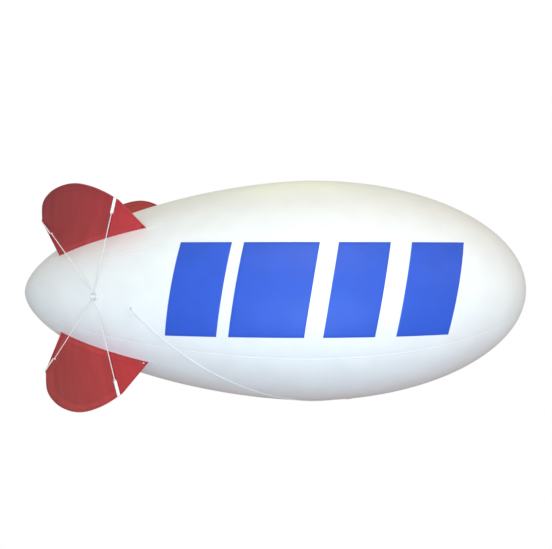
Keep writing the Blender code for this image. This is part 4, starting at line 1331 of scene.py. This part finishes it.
class BLIMP_OT_stays(bpy.types.Operator):
    """Make the straps on the fins, the braided stay lines, and the rings and patches that hold them"""
    bl_idname = "blimp.stays"
    bl_label = "Fin stays"
    bl_options = {"REGISTER", "UNDO"}

    def execute(self, context):
        fin, rig, film = (context.scene.blimp_fin, context.scene.blimp_rigging, context.scene.blimp_film)
        for name, (turn, _) in FINS.items():
            for label in ("front", "rear"):
                strap, sewing = self.make_strap(fin, rig, label, "%s_%s" % (label, name))
                hand_over(turned(strap, turn), "polyester_tape",
                          ("fin_strap_%s_%s" % (label, name),))
                hand_over(turned(sewing, turn), None)
            for face, side in (("a", 1), ("b", -1)):
                line = self.make_line(rig, side, "stay_cord_%s_%s" % (name, face))
                hand_over(turned(line, turn), "braided_polyester",
                          ("stay_line_%s_%s" % (name, face),))
        skin = Skin()
        for name, turn in STAY_TURNS.items():
            self.make_anchor(skin, rig, film, name, turn)
        return {"FINISHED"}

    def strap_place(self, label):
        """Edge rod's middle where a strap crosses it, the way out of the fin, and the edge's direction."""
        curve = [Vector((x, 0.0, r)) for x, r in catmull([np.array(p) for p in FIN_EDGE[1:-1]], 3)]
        if label == "front":
            along = (curve[1] - curve[0]).normalized()
            place = curve[0] + along * STRAP_BACK
        else:
            foot = Vector((FIN_EDGE[-1][0], 0.0, FIN_EDGE[-1][1]))
            place = curve[-1]
            along = ((place - curve[-2]).normalized() + (foot - place).normalized()).normalized()
        outer = Vector((along.z, 0.0, -along.x))
        return place + outer * ROD_OUT, outer, along

    def ring_point(self, side):
        """Middle of the ring's wire on the side that faces the fin."""
        return stay_ring_frame(45 * side) @ Vector((0.0, RING_RADIUS * side, 0.0))

    def make_strap(self, fin, rig, label, name):
        """Tape that wraps the fin's edge, with a leg down each face and a sewn end on each leg."""
        middle, outer, along = self.strap_place(label)
        over = fin.bead + STRAP_ROOM + rig.tape / 2
        end = rig.strap_length
        near, far, half = end * 0.58, end - 0.006, rig.tape_width / 2 - 0.003
        legs, lifts, doublers, rows = [], [], [], []
        for side in (1, -1):
            toward = (self.ring_point(side) - middle).normalized()
            across = (along - toward * along.dot(toward)).normalized()
            lift = toward.cross(across)
            if lift.dot(outer) < 0:
                lift = -lift
            lifts.append(lift)
            legs.append([(middle + lift * over + toward * s, across) for s in np.linspace(end, 0.0, 12)])
            top = middle + lift * (over + rig.tape)
            doublers.append(tape(
                "doubler", [(top + toward * s, across) for s in np.linspace(end * 0.55, end - 0.001, 5)],
                rig.tape_width * 0.98, rig.tape))
            # Three rows across the doubled end, and one along each edge of it
            high = top + lift * (rig.tape / 2 + CLEAR)
            rows += [[(high + toward * s + across * w, lift) for w in (-half, half)]
                     for s in (near, end * 0.80, far)]
            rows += [[(high + toward * s + across * w, lift) for s in (near, far)] for w in (half, -half)]
        # Round the edge from one leg to the other
        angle, axis = lifts[0].angle(lifts[1]), lifts[0].cross(lifts[1]).normalized()
        bend = [(middle + (Matrix.Rotation(angle * i / 10, 3, axis) @ lifts[0]) * over, along)
                for i in range(1, 10)]
        strap = tape("strap", legs[0] + bend + legs[1][::-1], rig.tape_width, rig.tape)
        sewing = stitches("stay_strap_sewing_" + name, rows, "white_thread",
                          pitch=0.0045, length=0.0035, thickness=0.0009)
        return join("stay_strap_" + name, [strap] + doublers), sewing

    def make_line(self, rig, side, name):
        """Cord from the front strap, once round the ring's wire, to the rear strap, knotted at each strap."""
        wire = self.ring_point(side)
        ring = stay_ring_frame(45 * side).to_3x3()
        wrap = RING_WIRE + rig.cord + CLEAR
        # Room for the knot at each strap. The cord's two runs leave the wire as far from its middle
        knot_room = rig.cord * 2.2
        ends, angles = [], []
        for label, quarter in (("front", math.pi / 2), ("rear", -math.pi / 2)):
            middle = self.strap_place(label)[0]
            end = middle + (wire - middle).normalized() * (rig.strap_length + knot_room)
            away = ring.inverted() @ (end - wire)
            ends.append(end)
            angles.append(math.atan2(away.z, away.y) + quarter)
        start, stop = angles
        while stop < start + 1.5 * math.pi:
            stop += 2 * math.pi
        path, steps = [ends[0]], 30
        for i in range(steps + 1):
            angle = start + (stop - start) * i / steps
            path.append(wire + ring @ Vector((
                knot_room * (1 - 2 * i / steps), wrap * math.cos(angle), wrap * math.sin(angle))))
        path.append(ends[1])
        # The straight runs are cut every 20 mm
        full = []
        for a, b in zip(path, path[1:]):
            cuts = max(1, int((b - a).length / 0.02))
            full += [a + (b - a) * i / cuts for i in range(cuts)]
        line = tube("line", full + path[-1:], rig.cord)
        knots = [knot("knot", end, (wire - end).normalized(), rig.cord * 2.1, rig.cord * 0.9) for end in ends]
        return join(name, [line] + knots)

    def make_anchor(self, skin, rig, film, name, turn):
        """Double patch, the ring on it, and the two webbing keepers that hold the ring."""
        patch = double_patch("stay_patch_film_" + name, skin, STAY_X, math.radians(turn),
                             STAY_PATCH_RADIUS, film.patch, share=0.68)
        hand_over(patch, "heat_sealed_film", ("stay_patch_" + name,))
        matrix = stay_ring_frame(turn)
        across, up = matrix.col[1].to_3d(), matrix.col[2].to_3d()

        def on_ring(a, b):
            """Point in the ring's frame, a along it from the ring's middle and b above it."""
            return matrix @ Vector((a, 0.0, b))

        # The ring, and the lump where its wire is welded
        wires = []
        for angles, radius, loop in ((round_angles(64), RING_WIRE, True),
                                     (np.linspace(0.62, 0.82, 6), RING_WIRE * 1.12, False)):
            path = [matrix @ Vector((RING_RADIUS * math.cos(a), RING_RADIUS * math.sin(a), 0.0))
                    for a in angles]
            wires.append(tube("wire", path, radius, sides=14, loop=loop))
        hand_over(join("stay_ring_wire_" + name, wires), "zinc_plated_wire",
                  ("stay_ring_" + name,))
        keepers, rows = [], []
        low = patch_top(film.patch) - RING_LIFT + rig.tape * 0.4
        high = RING_WIRE + rig.tape / 2 + CLEAR
        ramp = [(-0.017, low), (-0.012, low), (-0.0075, low + 0.0003), (-0.0052, -0.0005),
                (-0.0042, 0.0015), (-0.0026, high - 0.0006)]
        profile = ramp + [(0.0, high)] + [(-a, b) for a, b in ramp[::-1]]
        for sign in (1, -1):
            sections = [(on_ring(sign * (RING_RADIUS + a), b), across) for a, b in profile]
            keepers.append(tape("keeper", sections, width=0.014, thickness=rig.tape))
            for a in (-0.0145, 0.0105, 0.0145):
                spot = on_ring(sign * (RING_RADIUS + a), low + rig.tape / 2 + CLEAR)
                rows.append([(spot - across * 0.0055, up), (spot + across * 0.0055, up)])
        hand_over(join("stay_keeper_" + name, keepers), "polyester_tape")
        sewing = stitches("stay_keeper_sewing_" + name, rows, "white_thread",
                          pitch=0.0036, length=0.0028, thickness=0.0009)
        hand_over(sewing, None)


# Tether harness

def geodesic(pull):
    """Taut path on the round envelope: the radius times the sine of its angle to the axis is constant."""
    turn, steps = math.radians(SIDE_PATCH_TURN), 300
    step = (TETHER_X - SIDE_PATCH_X) / steps
    run = []
    for i in range(steps):
        x = SIDE_PATCH_X + (i + 0.5) * step
        radius = hull_radius(x)
        sine = pull / radius
        slope = (hull_radius(x + step) - hull_radius(x - step)) / (2 * step)
        turn += math.hypot(1.0, slope) * step * sine / math.sqrt(1 - sine ** 2) / radius
        run.append((x + step / 2, turn))
    return run


class BLIMP_OT_harness(bpy.types.Operator):
    """Lay the two harness lines along the flanks, from their side patches to the belly"""
    bl_idname = "blimp.harness"
    bl_label = "Harness lines"
    bl_options = {"REGISTER", "UNDO"}

    def execute(self, context):
        rig, film = context.scene.blimp_rigging, context.scene.blimp_film
        skin = Skin()
        low, high = 0.1, 0.55
        goal = math.pi - math.asin(HARNESS_END_Y / hull_radius(TETHER_X))
        for _ in range(40):
            pull = (low + high) / 2
            if geodesic(pull)[-1][1] < goal:
                low = pull
            else:
                high = pull
        route = geodesic(pull)
        eyelet = [(0.0006, 0.0), (0.0092, 0.0), (0.0090, 0.0012), (0.0074, 0.0018), (0.0056, 0.0012),
                  (0.0052, 0.0003), (0.0006, 0.0002)]

        def past(x, limit):
            """0 short of a station and 1 past it, with a soft step of about 25 mm."""
            return 1 / (1 + math.exp((limit - x) / 0.006))

        for name, mirror in (("starboard", 1), ("port", -1)):
            bend = math.radians(SIDE_PATCH_TURN) * mirror
            patch = double_patch("side_patch_film_" + name, skin, SIDE_PATCH_X, bend, SIDE_PATCH_RADIUS,
                                 film.patch, share=0.6)
            hand_over(patch, "heat_sealed_film", ("side_patch_" + name,))
            matrix = seat(SIDE_PATCH_X, bend, patch_top(film.patch))
            ring = lathe("side_eyelet_" + name, eyelet, matrix, sides=32)
            hand_over(ring, "zinc_plated_wire")
            points = []
            for x, turn in route:
                # The line climbs over the patches at its ends
                over = (1 - past(x, SIDE_PATCH_X + SIDE_PATCH_RADIUS)
                        + past(x, TETHER_X - BELLY_PATCH_RADIUS))
                lift = rig.cord + over * (PATCH_LIFT + film.patch * 1.8) + 0.0001
                points.append(skin.at(x, turn * mirror, lift))
            line = tube("line", points, rig.cord)
            tie = knot("knot", points[0], matrix.col[2].to_3d(), rig.cord * 1.9, rig.cord * 0.85)
            stop = knot("stop", points[-1] + Vector((0, mirror * 0.0012, 0)),
                        (points[-1] - points[-4]).normalized(), rig.cord * 1.5, rig.cord * 0.8)
            hand_over(join("harness_cord_" + name, [line, tie, stop]), "braided_polyester",
                      ("harness_line_" + name,))
        return {"FINISHED"}


class BLIMP_OT_tether(bpy.types.Operator):
    """Make the belly patch, its webbing tab and the D-ring"""
    bl_idname = "blimp.tether"
    bl_label = "Tether point"
    bl_options = {"REGISTER", "UNDO"}

    def execute(self, context):
        rig, film = context.scene.blimp_rigging, context.scene.blimp_film
        skin = Skin()
        patch = double_patch("belly_patch_film", skin, TETHER_X, math.pi, BELLY_PATCH_RADIUS,
                             film.patch, share=0.7, rings=9, sides=64)
        hand_over(patch, "heat_sealed_film", ("belly_patch",))
        hinge = Vector(JOINTS["tether_ring_swing"]["pos_m"])
        forward = Vector((math.cos(RING_TILT), 0.0, math.sin(RING_TILT)))
        matrix = axes(hinge, forward, Vector((0, -1, 0)))
        wire = 0.0024
        self.make_ring(matrix, wire)
        bar_height = (hinge - skin.at(TETHER_X, math.pi, patch_top(film.patch))).length
        self.make_tab(matrix, wire, bar_height, rig.tape)
        return {"FINISHED"}

    def make_ring(self, matrix, wire):
        """D in the frame's XY plane: straight bar on Y, bow forward."""
        half, arm, corner = 0.0202, 0.014, 0.0045
        path = [(arm + half * math.cos(a), half * math.sin(a))
                for a in np.linspace(-math.pi / 2, math.pi / 2, 25)]
        quarter = np.linspace(0, math.pi / 2, 7)
        path += [(corner - corner * math.sin(a), half - corner + corner * math.cos(a)) for a in quarter]
        path += [(corner - corner * math.cos(a), -half + corner - corner * math.sin(a)) for a in quarter]
        points = spaced([(x, y, 0.0) for x, y in path + path[:1]], 0.002)[:-1]
        ring = tube("tether_ring_wire", [matrix @ Vector(p) for p in points], wire, sides=14, loop=True)
        hand_over(ring, "zinc_plated_wire", ("tether_ring",), body="tether_ring")

    def make_tab(self, matrix, wire, bar_height, sheet):
        """Webbing that comes up from the patch, goes round the ring's bar and is sewn down on both sides."""
        base, eye = -bar_height, wire + sheet / 2 + 0.0005
        foot = [(-0.027, base + sheet * 0.55), (-0.016, base + sheet * 0.55), (-0.009, base + sheet * 0.8),
                (-0.0052, base * 0.55), (-eye, -0.001)]
        loop = foot + [(-eye * math.cos(a), eye * math.sin(a)) for a in np.linspace(0.3, math.pi - 0.3, 9)]
        loop += [(-x, z) for x, z in foot[::-1]]
        sections = [(matrix @ Vector((x, 0.0, z)), Vector((0, 1, 0))) for x, z in loop]
        tab = tape("tether_tab_webbing", sections, width=0.029, thickness=sheet)
        hand_over(tab, "polyester_tape", ("tether_tab",))
        # A crossed box of stitches on each foot
        rows = []
        level = base + sheet * 1.1 + CLEAR
        for sign in (1, -1):
            near, far = sign * 0.0125, sign * 0.0245
            corners = [(matrix @ Vector((x, y, level)), matrix.col[2].to_3d()) for x, y in
                       ((near, -0.012), (near, 0.012), (far, 0.012), (far, -0.012))]
            rows += [[corners[a], corners[b]] for a, b in ((0, 1), (1, 2), (2, 3), (3, 0), (0, 2), (1, 3))]
        sewing = stitches("tether_tab_sewing", rows, "white_thread",
                          pitch=0.0032, length=0.0025, thickness=0.0008)
        hand_over(sewing, None)


# Valve

class BLIMP_OT_valve(bpy.types.Operator):
    """Make the filling valve: patch, flange, collar with its plug seat, and the hinged lid"""
    bl_idname = "blimp.valve"
    bl_label = "Filling valve"
    bl_options = {"REGISTER", "UNDO"}

    def execute(self, context):
        rig, film = context.scene.blimp_rigging, context.scene.blimp_film
        patch = film_disc("valve_patch_film", Skin(), VALVE_CENTRE.x, math.radians(VALVE_TURN),
                          VALVE_PATCH_RADIUS, PATCH_LIFT, film.patch)
        hand_over(patch, "heat_sealed_film", ("valve_patch",))
        joint = JOINTS["valve_lid_hinge"]
        across = -Vector(joint["axis"])
        matrix = axes(VALVE_CENTRE, across.cross(VALVE_OUT), across)
        hinge = matrix.inverted() @ Vector(joint["pos_m"])
        # The hinge's own frame, with its pin on Z
        lying = matrix @ Matrix.Translation(hinge) @ Matrix.Rotation(math.pi / 2, 4, "X")
        self.make_body(matrix, lying, hinge)
        self.make_lid(matrix, lying, hinge, rig.ribs)
        return {"FINISHED"}

    def make_body(self, matrix, lying, hinge):
        """Flange, collar with a plug seat in it, and the two hinge ears with their pin."""
        pieces = [lathe("collar", [
            (0.0300, -0.0025), (0.0315, -0.0020), (0.0320, 0.0000), (0.0320, 0.0018), (0.0314, 0.0027),
            (0.0300, 0.0030), (0.0262, 0.0030), (0.0256, 0.0024), (0.0226, 0.0024), (0.0218, 0.0030),
            (0.0196, 0.0032), (0.0185, 0.0040), (0.0180, 0.0056), (0.0180, 0.0100), (0.0174, 0.0104),
            (0.0174, 0.0116), (0.0180, 0.0120), (0.0180, 0.0143), (0.0174, 0.0150), (0.0148, 0.0150),
            (0.0141, 0.0143), (0.0138, 0.0125), (0.0138, 0.0062), (0.0130, 0.0056), (0.0068, 0.0056),
            (0.0062, 0.0062), (0.0060, 0.0105), (0.0050, 0.0118), (0.0030, 0.0124), (0.0004, 0.0125)],
            matrix, sides=64)]
        for low, high in ((0.0045, 0.0075), (-0.0075, -0.0045)):
            pieces.append(bar("ear", (hinge.x - 0.0026, low, 0.0015), (hinge.x + 0.0026, high, hinge.z),
                              matrix, bevel=0.0005))
            pieces.append(lathe("knuckle", [(0.0022, low), (0.0026, low + 0.0003), (0.0026, high - 0.0003),
                                            (0.0022, high)], lying, sides=24))
        pieces.append(lathe("pin", [(0.0012, -0.0079), (0.0012, 0.0079)], lying, sides=16))
        for k in range(4):
            spoke = matrix @ Matrix.Rotation(math.pi / 2 * k + 0.4, 4, "Z")
            pieces.append(bar("spoke", (0.005, -0.0008, 0.0050), (0.0142, 0.0008, 0.0088), spoke,
                              bevel=0.0003))
        hand_over(join("valve_body_moulding", pieces), "moulded_pvc", ("valve_body",))

    def make_lid(self, matrix, lying, hinge, count):
        """Lid with a raised rim, a thumb tab, grip ribs and its hinge barrel."""
        disc = lathe("disc", [
            (0.0060, 0.0150), (0.0122, 0.0148), (0.0128, 0.0154), (0.0162, 0.0154), (0.0168, 0.0158),
            (0.0170, 0.0164), (0.0170, 0.0184), (0.0164, 0.0191), (0.0152, 0.0193), (0.0144, 0.0188),
            (0.0138, 0.0184), (0.0030, 0.0184), (0.0004, 0.0183)], matrix, sides=64)
        arm = bar("arm", (hinge.x, -0.0040, 0.0155), (-0.0120, 0.0040, 0.0191), matrix, bevel=0.0005)
        barrel = lathe("barrel", [(0.0016, -0.0040), (0.0023, -0.0040), (0.0026, -0.0037), (0.0026, 0.0037),
                                  (0.0023, 0.0040), (0.0016, 0.0040)], lying, sides=24, loop=True)
        thumb = bar("thumb", (0.0150, -0.0050, 0.0160), (0.0205, 0.0050, 0.0180), matrix, bevel=0.0006)
        ribs = grow(grip_ribs, "ribs", {
            "Count": count, "Radius": 0.0170, "Material": finish("moulded_pvc"),
            "Rib Width": 0.0012, "Rib Height": 0.0028})
        ribs.data.transform(matrix @ Matrix.Translation((0, 0, 0.0172)))
        lid = join("valve_lid_moulding", [disc, arm, barrel, thumb, ribs])
        hand_over(lid, "moulded_pvc", ("valve_lid",), body="valve_lid")


# Stage

class BLIMP_OT_stage(bpy.types.Operator):
    """Set up the camera, the pale floor and the soft light"""
    bl_idname = "blimp.stage"
    bl_label = "Stage"
    bl_options = {"REGISTER", "UNDO"}

    def execute(self, context):
        scene, stage = context.scene, context.scene.blimp_stage
        back = self.away(stage.yaw, stage.rise)
        level = Vector((math.cos(stage.yaw), math.sin(stage.yaw), 0.0))
        upright = back.cross(level)
        c, s = math.cos(stage.roll), math.sin(stage.roll)
        data = bpy.data.cameras.new("camera")
        data.lens = stage.lens
        data.sensor_width = 36.0
        data.sensor_fit = "HORIZONTAL"
        camera = bpy.data.objects.new("camera", data)
        camera.matrix_world = axes(Vector(stage.target) + back * stage.distance,
                                   level * c + upright * s, upright * c - level * s)
        scene.collection.objects.link(camera)
        scene.camera = camera

        half, z = 3.5, stage.floor_height
        floor = new_piece("floor", [(-half, -half, z), (half, -half, z), (half, half, z), (-half, half, z)],
                          [(0, 1, 2, 3)])
        floor.data.materials.append(self.floor_paint())
        self.light_sky(scene)
        # Columns: name, turn from the camera towards the nose, rise, power, colour
        lamps = (
            ("key_above", 0.0, 35.0, 98.0, (1.0, 0.95, 0.79)),
            ("fill_below", 0.0, -20.0, 190.0, (0.535, 0.765, 1.0)),
            ("nose_side", 50.0, 15.0, 28.0, (1.0, 0.70, 0.50)),
            ("back_rim", 180.0, 55.0, 25.0, (0.90, 1.0, 0.20)),
        )
        lamp_distance = 5.4
        for name, turn, rise, power, colour in lamps:
            away = self.away(stage.yaw + math.radians(turn), math.radians(rise))
            lamp = bpy.data.lights.new(name, "AREA")
            lamp.shape = "DISK"
            lamp.size = 3.0
            lamp.energy = power
            lamp.color = colour
            item = bpy.data.objects.new(name, lamp)
            item.matrix_world = (Matrix.Translation(away * lamp_distance)
                                 @ away.to_track_quat("Z", "Y").to_matrix().to_4x4())
            item.visible_camera = False
            scene.collection.objects.link(item)
        scene.view_settings.view_transform = "Standard"
        scene.view_settings.look = "None"
        return {"FINISHED"}

    def away(self, yaw, rise):
        """Direction away from the balloon: on its starboard side, turned towards the nose, then raised."""
        return Vector((math.sin(yaw) * math.cos(rise), -math.cos(yaw) * math.cos(rise), math.sin(rise)))

    def floor_paint(self):
        """Studio floor paint: matt, white to the camera, a weak warm bounce to the balloon's belly."""
        material, tree, _, _ = start_material("studio_floor_paint", (0.9, 0.9, 0.9), {"Roughness": 0.8})
        seen = add(tree, "ShaderNodeLightPath")
        bounce = add(tree, "ShaderNodeEmission", {"Color": (0.32, 0.20, 0.14, 1.0), "Strength": 1.0})
        white = add(tree, "ShaderNodeEmission", {"Color": (1.0, 1.0, 1.0, 1.0), "Strength": 1.0})
        mix = add(tree, "ShaderNodeMixShader", {0: seen.outputs["Is Camera Ray"], 1: bounce, 2: white})
        plug(tree, tree.nodes["Material Output"], {"Surface": mix})
        return material

    def light_sky(self, scene):
        """White studio: plain white to the camera, an even grey for the light that it gives."""
        world = bpy.data.worlds.new("studio")
        world.use_nodes = True
        scene.world = world
        tree = world.node_tree
        tree.nodes.clear()
        seen = add(tree, "ShaderNodeLightPath")
        tone = add(tree, "ShaderNodeMix", {0: seen.outputs["Is Camera Ray"], 6: (0.50, 0.50, 0.50, 1.0),
                                           7: (1.0, 1.0, 1.0, 1.0)}, data_type="RGBA")
        light = add(tree, "ShaderNodeBackground", {0: tone.outputs[2], 1: 1.0})
        add(tree, "ShaderNodeOutputWorld", {0: light})


# Panel

OPERATORS = (BLIMP_OT_stage, BLIMP_OT_envelope, BLIMP_OT_blocks, BLIMP_OT_fins, BLIMP_OT_stays,
             BLIMP_OT_harness, BLIMP_OT_tether, BLIMP_OT_valve)
SETTINGS = {"blimp_film": BlimpFilmSettings, "blimp_fin": BlimpFinSettings,
            "blimp_rigging": BlimpRiggingSettings, "blimp_stage": BlimpStageSettings}


class BLIMP_PT_sidebar(bpy.types.Panel):
    """Sizes, colours and pieces of the blimp balloon"""
    bl_idname = "BLIMP_PT_sidebar"
    bl_label = "Blimp balloon"
    bl_space_type = "VIEW_3D"
    bl_region_type = "UI"
    bl_category = "Blimp"

    def draw(self, context):
        for name, group in SETTINGS.items():
            box = self.layout.box()
            box.label(text=group.__doc__)
            for key in group.__annotations__:
                box.prop(getattr(context.scene, name), key)
        for operator in OPERATORS:
            self.layout.operator(operator.bl_idname)


def register():
    for item in (*SETTINGS.values(), *OPERATORS, BLIMP_PT_sidebar):
        bpy.utils.register_class(item)
    for name, group in SETTINGS.items():
        setattr(bpy.types.Scene, name, bpy.props.PointerProperty(type=group))


def unregister():
    for name in SETTINGS:
        delattr(bpy.types.Scene, name)
    for item in (BLIMP_PT_sidebar, *OPERATORS, *SETTINGS.values()):
        bpy.utils.unregister_class(item)


def main():
    register()
    bpy.ops.blimp.stage()
    bpy.ops.blimp.envelope()
    bpy.ops.blimp.blocks()
    bpy.ops.blimp.fins()
    bpy.ops.blimp.stays()
    bpy.ops.blimp.harness()
    bpy.ops.blimp.tether()
    bpy.ops.blimp.valve()


if __name__ == "__main__":
    main()
